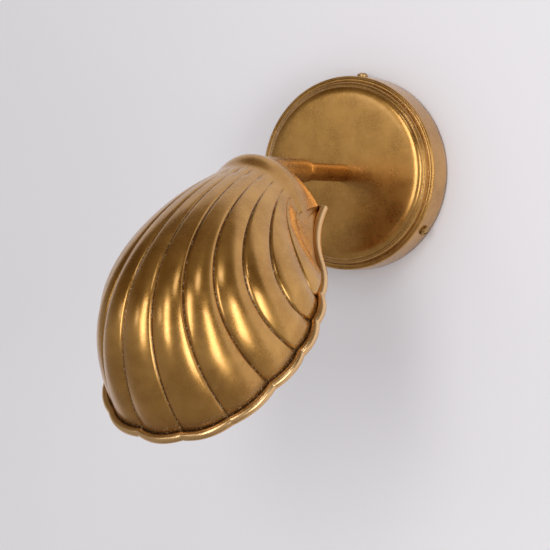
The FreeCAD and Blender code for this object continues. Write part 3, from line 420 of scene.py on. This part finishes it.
def tidy_mesh(piece):
    """Weld doubled points and turn every face outwards."""
    work = bmesh.new()
    work.from_mesh(piece.data)
    bmesh.ops.remove_doubles(work, verts=work.verts, dist=1e-6)
    bmesh.ops.dissolve_degenerate(work, edges=work.edges, dist=1e-7)
    bmesh.ops.recalc_face_normals(work, faces=work.faces)
    work.to_mesh(piece.data)
    work.free()


def arc_points(centre, radius, start, end, steps):
    """Points of an arc in a profile; angles in degrees, 0 outwards and 90 up."""
    return [(centre[0] + radius * math.cos(math.radians(start + (end - start) * k / steps)),
             centre[1] + radius * math.sin(math.radians(start + (end - start) * k / steps)))
            for k in range(steps + 1)]


def carved(piece, cutter):
    """Cut one mesh out of another and keep the result as plain mesh."""
    cut = piece.modifiers.new("cut", "BOOLEAN")
    cut.object = cutter
    cut.solver = "EXACT"
    bpy.context.view_layer.update()
    shown = piece.evaluated_get(bpy.context.evaluated_depsgraph_get())
    mesh = bpy.data.meshes.new_from_object(shown)
    piece.modifiers.clear()
    old = piece.data
    piece.data = mesh
    bpy.data.meshes.remove(old)
    bpy.data.objects.remove(cutter)
    return piece


def rounded_box(name, low, high, bevel, place=None):
    """A box from its two corners in millimetres with rounded edges."""
    low = Vector(low)
    high = Vector(high)
    corners = [(x, y, z) for x in (low.x, high.x) for y in (low.y, high.y)
               for z in (low.z, high.z)]
    faces = [(0, 1, 3, 2), (4, 6, 7, 5), (0, 4, 5, 1), (2, 3, 7, 6), (0, 2, 6, 4), (1, 5, 7, 3)]
    piece = mesh_piece(name, corners, faces)
    work = bmesh.new()
    work.from_mesh(piece.data)
    bmesh.ops.recalc_face_normals(work, faces=work.faces)
    if bevel:
        bmesh.ops.bevel(work, geom=list(work.edges), offset=bevel * MM, segments=3,
                        affect="EDGES", profile=0.5)
    if place is not None:
        bmesh.ops.transform(work, matrix=place, verts=work.verts)
    work.to_mesh(piece.data)
    work.free()
    return piece


def joined(name, *pieces):
    """Several meshes as one object."""
    work = bmesh.new()
    for piece in pieces:
        work.from_mesh(piece.data)
        bpy.data.objects.remove(piece)
    mesh = bpy.data.meshes.new(name)
    work.to_mesh(mesh)
    work.free()
    whole = bpy.data.objects.new(name, mesh)
    bpy.context.scene.collection.objects.link(whole)
    return whole


# ---------------------------------------------------------------- the fluted shell

def vec(*parts):
    """An array of numbers to reckon with as a point or a direction."""
    return np.array(parts, dtype=float)


def unit(direction):
    """The direction with length 1."""
    return direction / np.linalg.norm(direction)


def hoop(name, angle):
    """A pole of a hoop: angle 0 is the middle flute and 90 degrees a side."""
    half, length, height, sweep, swell, sweep_power, loss, loss_power = HOOPS[name]
    fall = 1 - math.cos(angle)
    twice = math.sin(2 * angle)
    return vec(half * (math.sin(angle) + swell * twice * abs(twice)),
               length + sweep * fall ** sweep_power,
               height * (1 - loss * fall ** loss_power))


def mouth_point(index):
    """Where a groove ends at the mouth."""
    across, along = MOUTH_OUTLINE[abs(index) - 1]
    return vec(across * math.copysign(MOUTH_HALF_WIDTH, index), along * MOUTH_LENGTH, 0)


def heel_column(angle):
    """Poles from the heel's edge up to the crown."""
    swing = math.sin(angle)
    level = math.cos(angle)
    edge = vec(HEEL["half_width"] * swing, MOUTH_LENGTH + HEEL["overhang"] * level, 0)
    rise = vec(HEEL["half_width"] * HEEL["spread"] * swing,
               MOUTH_LENGTH + HEEL["bulge"] + (HEEL["overhang"] + HEEL["swell"]) * level,
               HEEL["step"] + (HEEL["height"] - HEEL["step"]) * level)
    crown = hoop("crown", angle)
    start = crown - (hoop("back", angle) - crown) * CREST_SHARE
    return [edge, rise, start, crown]


def groove_column(index):
    """The poles of one groove from the heel's edge over the dome to the mouth."""
    if abs(index) > len(MOUTH_OUTLINE):
        corner = heel_column(math.copysign(math.pi / 2, index))
        return corner + corner[CREST_ROW - 1::-1]
    angle = math.copysign((abs(index) - 0.5) * STEP, index)
    poles = heel_column(angle) + [hoop("back", angle), hoop("front", angle), mouth_point(index)]
    for row in DOME_ROWS:
        poles[row] = poles[row] + drawn_in(index, row)
    return poles


def drawn_in(index, row):
    """How far a groove's pole is drawn in towards the lip."""
    shift = DRAWN_IN.get(abs(index), {}).get(row, (0, 0, 0))
    return vec(math.copysign(1, index), 1, 1) * vec(*shift)


def rib_column(left, right, angle, before, after, pair):
    """The poles between two grooves that make the hoops smooth, before the flute is raised."""
    if before is None or after is None:
        middle = [(a + b) * 0.5 for a, b in zip(left, right)]
        middle[:CREST_ROW + 1] = heel_column(angle)
        for row, shift in END_RIB_DRAWN_IN.items():
            middle[row] = middle[row] + vec(math.copysign(1, angle) * shift / 2, 0, 0)
    else:
        middle = heel_column(angle) + [hoop("back", angle), hoop("front", angle)]
        for row in DOME_ROWS:
            middle[row] = middle[row] + (drawn_in(pair[0], row) + drawn_in(pair[1], row)) / 2
        edges = [groove[LAST_ROW] for groove in (before, left, right, after)]
        middle.append(((edges[1] + edges[2]) * 9 - edges[0] - edges[3]) / 16)
    return [m * 2 - (a + b) * 0.5 for m, a, b in zip(middle, left, right)]


def outward(along, across, level):
    """The outward normal; level is 1 at the heel's edge, -1 at the mouth and else 0."""
    if level:
        along = vec(0, 0, level)
    return unit(np.cross(along, across))


def shell_net():
    """Columns of poles, groove and rib by turns, with each pole's outward normal."""
    corner = len(MOUTH_OUTLINE) + 1
    numbers = [i for i in range(-corner, corner + 1) if i]
    grooves = [groove_column(i) for i in numbers]
    last = len(grooves) - 1
    columns = []
    normals = []
    for i in range(last):
        left = grooves[i]
        right = grooves[i + 1]
        before = grooves[i - 1] if i else None
        after = grooves[i + 2] if i + 2 <= last else None
        rib = rib_column(left, right, (i - (last - 1) / 2) * STEP, before, after,
                         numbers[i:i + 2])
        faces = [outward(rib[min(r + 1, LAST_ROW)] - rib[max(r - 1, 0)], right[r] - left[r],
                         {0: 1, LAST_ROW: -1}.get(r, 0)) for r in range(LAST_ROW + 1)]
        depth = FLUTE_DEPTH * (END_RIB_SHARE if before is None or after is None else 1.0)
        columns += [left, [p + n * (depth * k) for p, n, k in zip(rib, faces, RIB_RISE)]]
        normals += [None, faces]
    columns.append(grooves[last])
    normals.append(None)
    for i in range(0, len(columns), 2):
        if i in (0, len(columns) - 1):
            normals[i] = [vec(-1 if i == 0 else 1, 0, 0)] * (LAST_ROW + 1)
        else:
            normals[i] = [unit(a + b) for a, b in zip(normals[i - 1], normals[i + 1])]
    return np.array(columns), np.array(normals)


def curve_point(poles, share):
    """A point on the curve that its poles control."""
    while len(poles) > 1:
        poles = [a + (b - a) * share for a, b in zip(poles, poles[1:])]
    return poles[0]


def seat_point():
    """Where the arm's axis meets the heel."""
    poles = heel_column(0.0)
    low = 0.0
    high = 1.0
    for _ in range(40):
        share = (low + high) / 2
        if curve_point(poles, share)[2] < SEAT_HEIGHT:
            low = share
        else:
            high = share
    return curve_point(poles, low)


def shade_frame():
    """From the shade's own frame, in metres, to the part's."""
    turn = Matrix.Rotation(math.radians(SHADE_TILT), 4, "X")
    seat = turn @ Vector(seat_point() * MM)
    return Matrix.Translation(Vector((0, -SEAT * MM, 0)) - seat) @ turn


# Stations across a rib from one groove to the next, close together beside the grooves.
HALF_RIB = (0.0, 0.018, 0.04, 0.07, 0.11, 0.17, 0.25, 0.35, 0.45)
ACROSS = HALF_RIB + tuple(1 - s for s in HALF_RIB[:0:-1])
CAP_STEPS = 24
DOME_STEPS = 72
INNER_CAP_STEPS = 12
INNER_DOME_STEPS = 36


def hoops(columns, cap_steps, dome_steps):
    """Rows of poles from the heel's edge over the crown to the mouth."""
    cap = [[curve_point(list(c[:CREST_ROW + 1]), k / cap_steps) for c in columns]
           for k in range(cap_steps)]
    dome = [[curve_point(list(c[CREST_ROW:]), k / dome_steps) for c in columns]
            for k in range(dome_steps + 1)]
    rows = cap + dome
    for k in range(dome_steps + 1):
        for end in (0, -1):
            rows[cap_steps + k][end] = rows[max(cap_steps - k, 0)][end]
    return [np.array(row) for row in rows]


def spread_row(row):
    """The points of one row, rib by rib."""
    points = []
    for i in range(0, len(row) - 2, 2):
        left, pole, right = row[i:i + 3]
        points += [left * (1 - s) ** 2 + pole * (2 * s * (1 - s)) + right * s * s
                   for s in ACROSS]
    points.append(row[-1])
    return np.array(points)


def groove_gap(row):
    """For each point of a row, its distance in millimetres from the nearest groove."""
    gaps = []
    last = len(row) - 3
    for i in range(0, last + 1, 2):
        width = np.linalg.norm(row[i + 2] - row[i])
        for s in ACROSS:
            near_left = s if i else 1.0
            near_right = 1 - s if i < last else 1.0
            gaps.append(width * min(near_left, near_right))
    gaps.append(NO_GROOVE)
    return np.array(gaps)


def ease(value, low, high):
    """From 0 at low to 1 at high, with soft ends."""
    share = min(max((value - low) / (high - low), 0.0), 1.0)
    return share * share * (3 - 2 * share)


def grid_normals(grid):
    """Outward normals of a grid of points, rows by columns."""
    along = np.gradient(grid, axis=0)
    across = np.gradient(grid, axis=1)
    normals = np.cross(along, across)
    length = np.linalg.norm(normals, axis=2, keepdims=True)
    return normals / np.maximum(length, 1e-9)


def chase(grid, gaps):
    """Cut the chased lines into the outer skin; gives the skin and how deep each point lies.

    The marks run from 1 in a groove over 0 to -1 where the brass is rubbed bright and carries a
    painted highlight.
    """
    normals = grid_normals(grid)
    depth_mark = np.zeros(grid.shape[:2])
    shift = np.zeros(grid.shape[:2])
    crown = 1 - np.abs(2 * np.array(ACROSS) - 1) ** 4
    ribs = (grid.shape[1] - 1) // len(ACROSS)
    crowns = np.concatenate([crown * 0] + [crown] * (ribs - 2) + [crown * 0, [0]])
    dented = np.ones(grid.shape[1])
    side = len(ACROSS) * 3 // 2
    dented[:side] = 0
    dented[-side:] = 0
    for r in range(grid.shape[0]):
        t = (r - CAP_STEPS) / DOME_STEPS
        line = ease(t, LINE["start"], LINE["full"])
        dent = math.exp(-((t - DENT["place"]) / DENT["length"]) ** 2) * dented
        gap = gaps[r]
        cut = (LINE["depth"] * line * np.exp(-(gap / LINE["reach"]) ** 2)
               + DENT["depth"] * dent * np.exp(-(gap / DENT["reach"]) ** 2))
        shoulder = (SHOULDER["height"] * line
                    * np.exp(-((gap - SHOULDER["gap"]) / SHOULDER["reach"]) ** 2))
        shift[r] = shoulder - cut + RIB_CROWN * line * crowns
        fade = np.maximum(line, 0.8 * dent)
        depth_mark[r] = fade * np.exp(-(gap / DIRT_REACH) ** 2)
    return grid + normals * shift[:, :, None], depth_mark


# Section of the lip from its root to its foot: part of its reach, and its height over or
# under the edge as a part of the crown (above) or of the drop (below).
LIP_SECTION = ((0.05, -0.25), (0.10, 0.10), (0.20, 0.62), (0.34, 0.92), (0.50, 1.0), (0.66, 0.94),
               (0.80, 0.74), (0.92, 0.40), (0.985, 0.0), (1.0, -0.28), (0.99, -0.55),
               (0.95, -0.78), (0.86, -0.94), (0.72, -1.0), (0.45, -0.98), (0.18, -0.80))

# Marks along the same section: dirt in the crease at the root, a crown rubbed bright that is also
# a painted highlight, a plain foot.
LIP_MARKS = (0.9, 0.25, -0.4, -0.8, -1.0, -1.0, -1.0, -1.0, -1.0, -0.7, -0.4,
             0.0, 0.0, 0.0, 0.0, 0.0)


def lip_scale(column, count, row):
    """How far the lip stands out: lobed round the mouth, slight behind the heel."""
    inset = min(column, count - 1 - column)
    if row == LAST_ROW:
        return 1.0 if inset < 2 else LIP_LOBE["rib" if column % 2 else "groove"]
    return max(HEEL_LIP, 1.0 - HEEL_LIP_FADE * inset)


def lip_rings(columns, normals, row):
    """Rings of poles of the rolled lip from its root outwards and back under to its foot."""
    count = len(columns)
    rings = [[] for _ in LIP_SECTION]
    for column in range(count):
        edge = columns[column][row]
        out = normals[column][row]
        if column in (0, count - 1):
            out = unit(vec(out[0], 0.6, 0))
        reach = LIP_WIDTH * lip_scale(column, count, row)
        for ring, (part, level) in zip(rings, LIP_SECTION):
            height = level * (LIP_CROWN if level > 0 else LIP_DROP)
            if part < 0.08:
                height = level * LIP_CROWN
            ring.append(edge + out * (reach * part) + vec(0, 0, height))
    return [np.array(ring) for ring in rings]


def make_shell():
    """The pressed shell: chased flutes outside, smooth flutes inside and a rolled lip."""
    columns, normals = shell_net()
    inner = columns - normals * SHADE_WALL
    foot = vec(0, 0, LIP_DROP * 0.3)
    for row in (0, LAST_ROW):
        inner[:, row] = columns[:, row] - normals[:, row] * SHADE_WALL - foot
    outer_rows = hoops(columns, CAP_STEPS, DOME_STEPS)
    outer = np.array([spread_row(row) for row in outer_rows])
    gaps = np.array([groove_gap(row) for row in outer_rows])
    outer, marks = chase(outer, gaps)
    inside = [spread_row(row) for row in hoops(inner, INNER_CAP_STEPS, INNER_DOME_STEPS)]
    front_lip = [spread_row(ring) for ring in lip_rings(columns, normals, LAST_ROW)]
    back_lip = [spread_row(ring) for ring in lip_rings(columns, normals, 0)]
    # Dirt lies where the flutes run out under the root of the lip.
    marks[-1] = 1.0
    marks[-2] = np.maximum(marks[-2], 0.45)
    rows = list(outer) + front_lip + inside[::-1] + back_lip[::-1]
    width = outer.shape[1]
    lip_marks = [np.full(width, mark) for mark in LIP_MARKS]
    plain = [np.zeros(width)] * (len(inside) + len(back_lip))
    mark_rows = list(marks) + lip_marks + plain
    points = np.concatenate(rows)
    faces = []
    count = len(rows)
    for r in range(count):
        for c in range(width - 1):
            faces.append((r * width + c, r * width + c + 1,
                          ((r + 1) % count) * width + c + 1, ((r + 1) % count) * width + c))
    piece = mesh_piece("fluted_shell", points, faces, shade_frame())
    layer = piece.data.attributes.new("groove", "FLOAT", "POINT")
    layer.data.foreach_set("value", np.concatenate(mark_rows).astype(np.float32))
    tidy_mesh(piece)
    return finish_piece(piece, "shade", "aged_brass", "shell_shade", angle=50)


def skin_tree(piece):
    """The shell's mesh for measuring along the arm."""
    mesh = piece.data
    points = [piece.matrix_world @ v.co for v in mesh.vertices]
    return BVHTree.FromPolygons(points, [tuple(p.vertices) for p in mesh.polygons])


def heel_at(tree, x, z):
    """Distance from the wall, in millimetres, at which a line along the arm meets the heel."""
    hit = tree.ray_cast(Vector((x * MM, -PROBE_START * MM, z * MM)), Vector((0, -1, 0)))[0]
    return -hit.y / MM if hit else None


def make_boss(tree):
    """The boss and its tab inside the heel, which take the hollow bolt and the strap."""
    sides = 72
    deepest = BOSS_END - 1.2
    start = []
    end = []
    for k in range(sides):
        turn = 2 * math.pi * k / sides
        reach = BOSS_RADIUS
        depth = heel_at(tree, reach * math.cos(turn), reach * math.sin(turn))
        while reach > BOSS_BORE + 0.4 and (depth is None or depth > deepest):
            reach -= 0.1
            depth = heel_at(tree, reach * math.cos(turn), reach * math.sin(turn))
        depth = deepest if depth is None else depth
        start.append((reach * math.cos(turn), reach * math.sin(turn), depth + 0.9))
        end.append((reach * math.cos(turn), reach * math.sin(turn), BOSS_END))
    bore_end = [(x, y, BOSS_END) for x, y in circle(BOSS_BORE, sides)]
    bore_start = [(x, y, z - 8.0) for x, y, z in bore_end]
    points = start + end + bore_end + bore_start
    faces = []
    for ring in range(3):
        for k in range(sides):
            j = (k + 1) % sides
            a = ring * sides
            faces.append((a + k, a + j, a + sides + j, a + sides + k))
    boss = mesh_piece("shade_boss", points, faces, arm_frame())
    tab = rounded_box("tab", (-5.0, -17.0, BOSS_END - 6.0), (5.0, -6.0, BOSS_END - 0.02), 0.5,
                      arm_frame())
    whole = joined("shade_boss", boss, tab)
    finish_piece(whole, "shade", "aged_brass")


# ---------------------------------------------------------------- canopy, arm and collar

def make_canopy():
    """The spun canopy: side wall, ridge with a scribed line, cove, bead and a flat face."""
    side_wall = [(58.8, 0.0), (59.7, 0.0), (60.0, 0.3), (59.97, 4.0), (59.85, 10.0),
                 (59.7, 15.0), (59.62, 17.2)]
    ridge = [(59.5, 17.9), (59.15, 18.4), (58.7, 18.6), (58.35, 18.62), (58.22, 18.50),
             (58.08, 18.50), (57.95, 18.66), (57.5, 18.8), (57.0, 18.85), (56.6, 18.80),
             (56.42, 18.66), (56.30, 18.66)]
    cove = [(56.12, 18.9), (55.95, 19.4), (55.75, 20.0), (55.45, 20.6), (55.15, 21.05),
            (54.95, 21.2), (54.80, 21.22)]
    bead = [(54.55, 21.45), (54.25, 21.72), (53.95, 21.88), (53.65, 21.90), (53.48, 21.80),
            (53.36, 21.82)]
    face = [(53.18, 22.0), (52.95, 22.35), (52.5, 22.75), (51.9, 23.12), (51.1, 23.42),
            (50.2, 23.66), (49.2, 23.83), (48.0, 23.94), (46.0, 24.0), (42.0, 24.02),
            (36.0, 24.0), (20.0, 24.0), (8.0, 24.0), (4.3, 24.0)]
    inside = [(4.3, 22.8), (20.0, 22.8), (50.0, 22.8), (51.4, 22.4), (52.0, 21.4),
              (54.0, 20.4), (55.0, 18.2), (58.3, 17.2), (58.7, 10.0)]
    profile = side_wall + ridge + cove + bead + face + inside
    piece = lathe("spun_canopy", profile, arm_frame(), sides=224)
    mark_turned(piece, ((58.15, 18.55, 0.25), (56.36, 18.66, 0.30), (54.88, 21.2, 0.22),
                        (53.42, 21.8, 0.28)))
    finish_piece(piece, "wall_side", "aged_brass", "canopy", angle=60)


def mark_turned(piece, lines):
    """Where dirt lies in the lines of a turned piece: (radius, height, reach) of each."""
    layer = piece.data.attributes.new("groove", "FLOAT", "POINT")
    for spot, vertex in zip(layer.data, piece.data.vertices):
        radius = math.hypot(vertex.co.x, vertex.co.z) / MM
        height = -vertex.co.y / MM
        spot.value = max((math.exp(-(((radius - r) ** 2 + (height - h) ** 2) / w ** 2))
                          for r, h, w in lines), default=0.0) * TURNED_DIRT


def slotted_screw(name, head_radius, head_height, shank_radius, shank_length, place, slot_turn,
                  slot_width=1.0, slot_depth=1.0):
    """A domed slotted screw: its seat is the frame's z = 0 and the head rises from it."""
    dome = head_height * 0.55
    ball = (head_radius ** 2 + dome ** 2) / (2 * dome)
    spread = math.degrees(math.asin(head_radius / ball))
    crown = arc_points((0, head_height - ball), ball, 90 - spread, 90, 8)
    crown[-1] = (0.0, crown[-1][1])
    profile = [(0.0, -shank_length), (shank_radius, -shank_length), (shank_radius, 0.0),
               (head_radius - 0.15, 0.0), (head_radius, 0.15)] + crown
    screw = lathe(name, profile, None, sides=48, closed=False)
    cutter = rounded_box("slot", (-slot_width / 2, -head_radius - 1, head_height - slot_depth),
                         (slot_width / 2, head_radius + 1, head_height + 1), 0.0)
    screw = carved(screw, cutter)
    screw.data.transform(place @ Matrix.Rotation(math.radians(slot_turn), 4, "Z"))
    return screw


def make_side_screws():
    """The three screws that hold the canopy to its bracket."""
    for where, angle, slot_turn in (("top", 90.0, 78.0), ("right", -30.0, 35.0),
                                    ("left", 210.0, 10.0)):
        turn = math.radians(90 - angle + SCREW_TURN)
        place = (Matrix.Translation((0, -SIDE_SCREW_HEIGHT * MM, 0))
                 @ Matrix.Rotation(turn, 4, "Y")
                 @ Matrix.Translation((0, 0, SIDE_SCREW_SEAT * MM)))
        screw = slotted_screw("canopy_screw_" + where, head_radius=3.4, head_height=2.5,
                              shank_radius=2.0, shank_length=6.8, place=place,
                              slot_turn=slot_turn)
        finish_piece(screw, "wall_side", "screw_brass", "side_screw_" + where, angle=40)


def make_arm():
    """The plain arm tube."""
    start = CANOPY_DEPTH
    end = CANOPY_DEPTH + ARM_LENGTH
    profile = [(ARM_BORE, start), (5.42, start), (ARM_RADIUS, start + 0.1),
               (ARM_RADIUS, start + 20), (ARM_RADIUS, end - 20), (ARM_RADIUS, end - 0.3),
               (5.3, end), (ARM_BORE, end)]
    piece = lathe("arm_sleeve", profile, arm_frame(), sides=96)
    finish_piece(piece, "wall_side", "aged_brass", "arm_tube")


def make_collar(tree):
    """The collar from its rounded edge on the arm to the heel, which it meets on a mitre."""
    sides = 96
    start = COLLAR_START
    outer = [(COLLAR_BORE, start + 0.15), (5.75, start), (6.25, start), (6.42, start + 0.12),
             (6.50, start + 0.35), (6.52, start + 1.2), (6.56, start + 3.0), (6.72, start + 3.9),
             (6.98, start + 4.6), (7.14, start + 5.4), (COLLAR_RADIUS, start + 6.4),
             (COLLAR_RADIUS, start + 12.0), (COLLAR_RADIUS, start + 30.0)]
    points = []
    faces = []
    rings = len(outer)
    for radius, depth in outer:
        points += [(x, z, depth) for x, z in circle(radius, sides)]
    for radius in (COLLAR_RADIUS, COLLAR_BORE):
        points += [(x, z, heel_at(tree, x, z) + COLLAR_LAP) for x, z in circle(radius, sides)]
    count = rings + 2
    for r in range(count):
        for k in range(sides):
            j = (k + 1) % sides
            a = r * sides
            b = ((r + 1) % count) * sides
            faces.append((a + k, a + j, b + j, b + k))
    piece = mesh_piece("arm_collar", points, faces, arm_frame())
    tidy_mesh(piece)
    mark_turned(piece, ((5.7, start + 0.1, 0.25),))
    finish_piece(piece, "shade", "aged_brass", "collar", angle=50)


# ---------------------------------------------------------------- lampholder and bulb

def holder_frame():
    """From the lampholder's frame, in metres, to the part's."""
    turn = Matrix.Rotation(math.radians(90 + SHADE_TILT), 4, "X")
    bend = arm_frame() @ Vector((0, -STRAP_DROP * MM, (BOSS_END + STRAP_GAUGE / 2) * MM))
    up_the_leg = turn @ Vector((0, HOLDER_OFFSET * MM, STRAP_GAUGE / 2 * MM))
    return Matrix.Translation(bend + up_the_leg) @ turn


def make_holder():
    """The moulded lampholder with its threaded skirt."""
    crest = 10.55
    root = 10.05
    pitch = 1.9
    thread = []
    height = 23.0
    while height < 38.0:
        thread += [(crest, height), (crest, height + 0.7), (root, height + 1.1),
                   (root, height + 1.5), (crest, height + pitch)]
        height += pitch
    profile = [(0.0, 0.0), (9.6, 0.0), (10.0, 0.4), (10.0, 4.6), (10.3, 5.0), (11.6, 5.0),
               (12.0, 5.4), (12.0, 12.0), (11.9, 12.3), (11.9, 12.9), (12.0, 13.2), (12.0, 21.6),
               (11.6, 22.0), (10.6, 22.0)] + thread + [
               (10.6, 39.2), (10.2, HOLDER_LENGTH), (8.0, HOLDER_LENGTH), (7.6, 39.6),
               (7.6, 18.0), (0.0, 18.0)]
    piece = lathe("lamp_holder", profile, holder_frame(), sides=96, closed=False)
    finish_piece(piece, "shade", "holder_plastic", "lampholder", angle=35)


def make_bulb():
    """A small tubular bulb with a smooth shoulder and a round nose."""
    base = HOLDER_LENGTH + 1.0
    neck = 6.4
    steps = 12
    shoulder = []
    for k in range(steps + 1):
        share = k / steps
        shoulder.append((neck + (BULB_RADIUS - neck) * ease(share, 0.0, 1.0),
                         base + 0.6 + 13.4 * share))
    nose = [(BULB_RADIUS * math.cos(math.radians(a)),
             base + 41.0 + 12.0 * math.sin(math.radians(a))) for a in range(0, 90, 6)]
    profile = [(0.0, base), (6.2, base), (neck, base + 0.2)] + shoulder + [
        (BULB_RADIUS, base + 24.0), (BULB_RADIUS, base + 34.0)] + nose + [(0.0, base + 53.0)]
    piece = lathe("opal_bulb", profile, holder_frame(), sides=80, closed=False)
    finish_piece(piece, "shade", "bulb_glass", "bulb_glass", angle=60)


def make_strap_screw():
    """The screw that holds the strap to the boss's tab."""
    place = arm_frame() @ Matrix.Translation((0, -12.0 * MM, (BOSS_END + STRAP_GAUGE) * MM))
    screw = slotted_screw("strap_fixing", head_radius=3.2, head_height=1.9, shank_radius=1.9,
                          shank_length=6.8, place=place, slot_turn=15.0, slot_width=0.8,
                          slot_depth=0.9)
    finish_piece(screw, "shade", "zinc_steel", "strap_screw", angle=40)


def dress_nodes():
    """Give every node that stays in view the material of its slot."""
    slots = {part["node"]: part["material_slot"] for part in frame["record"]["subparts"]}
    for name, node in frame["nodes"].items():
        if not node.hide_render:
            node.data.materials.clear()
            node.data.materials.append(MATERIALS[slots[name]])


# ---------------------------------------------------------------- wall, light and camera

def stage_plane(name, corners, colour):
    """A plain pale surface with painted light that makes it a little paler to the right; it can't
    be seen from behind.
    """
    piece = mesh_piece(name, [tuple(c / MM for c in corner) for corner in corners],
                       [(0, 1, 2, 3)])
    paint = Paint(name, roughness=0.9)
    cloud = paint.noise(2.0, 3, 0.5)
    fine = paint.noise(900, 3, 0.6)
    light = tuple(min(c * 1.02, 1.0) for c in colour)
    base = paint.mix(paint.ramp(cloud, 0.3, 0.7), tuple(c * 0.98 for c in colour), light)
    parts = paint.add("ShaderNodeSeparateXYZ")
    paint.link(paint.place, parts.inputs["Vector"])
    # Painted light: the wall is painted paler towards the right, as if lit from that side.
    painted_light_to_right = paint.ramp(parts.outputs["X"], -0.35, 0.2)
    paint.colour(paint.mix(painted_light_to_right, base, tuple(min(c * 1.16, 1.0) for c in colour)))
    paint.shader.inputs["Specular IOR Level"].default_value = 0.2
    paint.bump((fine, 0.00002))
    clear = paint.add("ShaderNodeBsdfTransparent")
    switch = paint.add("ShaderNodeMixShader")
    paint.link(paint.add("ShaderNodeNewGeometry").outputs["Backfacing"], switch.inputs["Fac"])
    paint.link(paint.shader.outputs["BSDF"], switch.inputs[1])
    paint.link(clear.outputs["BSDF"], switch.inputs[2])
    output = next(n for n in paint.tree.nodes if n.type == "OUTPUT_MATERIAL")
    paint.link(switch.outputs["Shader"], output.inputs["Surface"])
    piece.data.materials.append(paint.material)


def soft_box(name, azimuth, elevation, distance, width, height, power):
    """A rectangular soft light turned to the shade, placed as seen from it.

    Azimuth 0 is straight out of the wall and 90 to the right, in degrees.
    """
    lamp = bpy.data.lights.new(name, "AREA")
    lamp.shape = "RECTANGLE"
    lamp.size = width
    lamp.size_y = height
    lamp.energy = power
    light = bpy.data.objects.new(name, lamp)
    turn = math.radians(azimuth)
    rise = math.radians(elevation)
    place = (distance * math.cos(rise) * math.sin(turn),
             SHADE_MIDDLE[1] - distance * math.cos(rise) * math.cos(turn),
             SHADE_MIDDLE[2] + distance * math.sin(rise))
    aim_at(light, place, SHADE_MIDDLE)


def aim_at(thing, place, target):
    """Put a lamp or the camera in its place, turned to a point."""
    thing.location = place
    heading = Vector(target) - Vector(place)
    thing.rotation_euler = heading.to_track_quat("-Z", "Y").to_euler()
    bpy.context.scene.collection.objects.link(thing)


def room_glow():
    """Plain soft light for matt surfaces; polished ones mirror a room with a dark ceiling."""
    world = bpy.data.worlds.new("room")
    world.use_nodes = True
    tree = world.node_tree
    plain = tree.nodes["Background"]
    plain.inputs["Color"].default_value = (0.68, 0.672, 0.68, 1)
    place = tree.nodes.new("ShaderNodeTexCoord")
    parts = tree.nodes.new("ShaderNodeSeparateXYZ")
    ramp = tree.nodes.new("ShaderNodeValToRGB")
    shift = tree.nodes.new("ShaderNodeMapRange")
    shift.inputs["From Min"].default_value = -1.0
    mirrored = tree.nodes.new("ShaderNodeBackground")
    path = tree.nodes.new("ShaderNodeLightPath")
    switch = tree.nodes.new("ShaderNodeMixShader")
    tree.links.new(place.outputs["Generated"], parts.inputs["Vector"])
    tree.links.new(parts.outputs["Z"], shift.inputs["Value"])
    tree.links.new(shift.outputs["Result"], ramp.inputs["Fac"])
    tree.links.new(ramp.outputs["Color"], mirrored.inputs["Color"])
    tree.links.new(path.outputs["Is Glossy Ray"], switch.inputs["Fac"])
    tree.links.new(plain.outputs["Background"], switch.inputs[1])
    tree.links.new(mirrored.outputs["Background"], switch.inputs[2])
    tree.links.new(switch.outputs["Shader"], tree.nodes["World Output"].inputs["Surface"])
    stops = ramp.color_ramp.elements
    stops[0].position, stops[0].color = 0.0, (0.30, 0.27, 0.23, 1)
    stops[1].position, stops[1].color = 1.0, (0.22, 0.17, 0.11, 1)
    for position, colour in ((0.40, (0.34, 0.31, 0.28, 1)), (0.53, (0.36, 0.34, 0.32, 1)),
                             (0.68, (0.19, 0.145, 0.085, 1)), (0.85, (0.12, 0.078, 0.028, 1))):
        stop = stops.new(position)
        stop.color = colour
    bpy.context.scene.world = world


def make_room():
    """The wall behind the lamp, the room's own light and four soft boxes."""
    left, right = BOARD_SIDES
    foot, head = BOARD_ENDS
    corners = [(x, BOARD_DEPTH, z)
               for x, z in ((left, foot), (right, foot), (right, head), (left, head))]
    stage_plane("wall", corners, WALL_COLOUR)
    room_glow()
    soft_box("front", 5, 12, distance=2.2, width=0.6, height=1.6, power=13)
    soft_box("right", 67, 0, distance=2.2, width=0.65, height=1.6, power=15)
    soft_box("left", -24, 14, distance=2.4, width=0.5, height=0.5, power=1.5)
    soft_box("high", 40, 47, distance=2.2, width=0.5, height=0.5, power=2.6)


def make_camera():
    """The photograph's viewpoint."""
    camera = bpy.data.cameras.new("camera")
    camera.sensor_width = FILM_WIDTH
    camera.lens = FOCAL_LENGTH * FILM_WIDTH
    eye = bpy.data.objects.new("camera", camera)
    aim_at(eye, CAMERA_PLACE, CAMERA_AIM)
    bpy.context.scene.camera = eye


def main():
    """Dress the part and light it."""
    bpy.context.scene.view_settings.view_transform = "Standard"
    make_camera()
    shell = make_shell()
    tree = skin_tree(shell)
    make_boss(tree)
    make_collar(tree)
    make_canopy()
    make_side_screws()
    make_arm()
    make_holder()
    make_bulb()
    make_strap_screw()
    dress_nodes()
    make_room()


main()
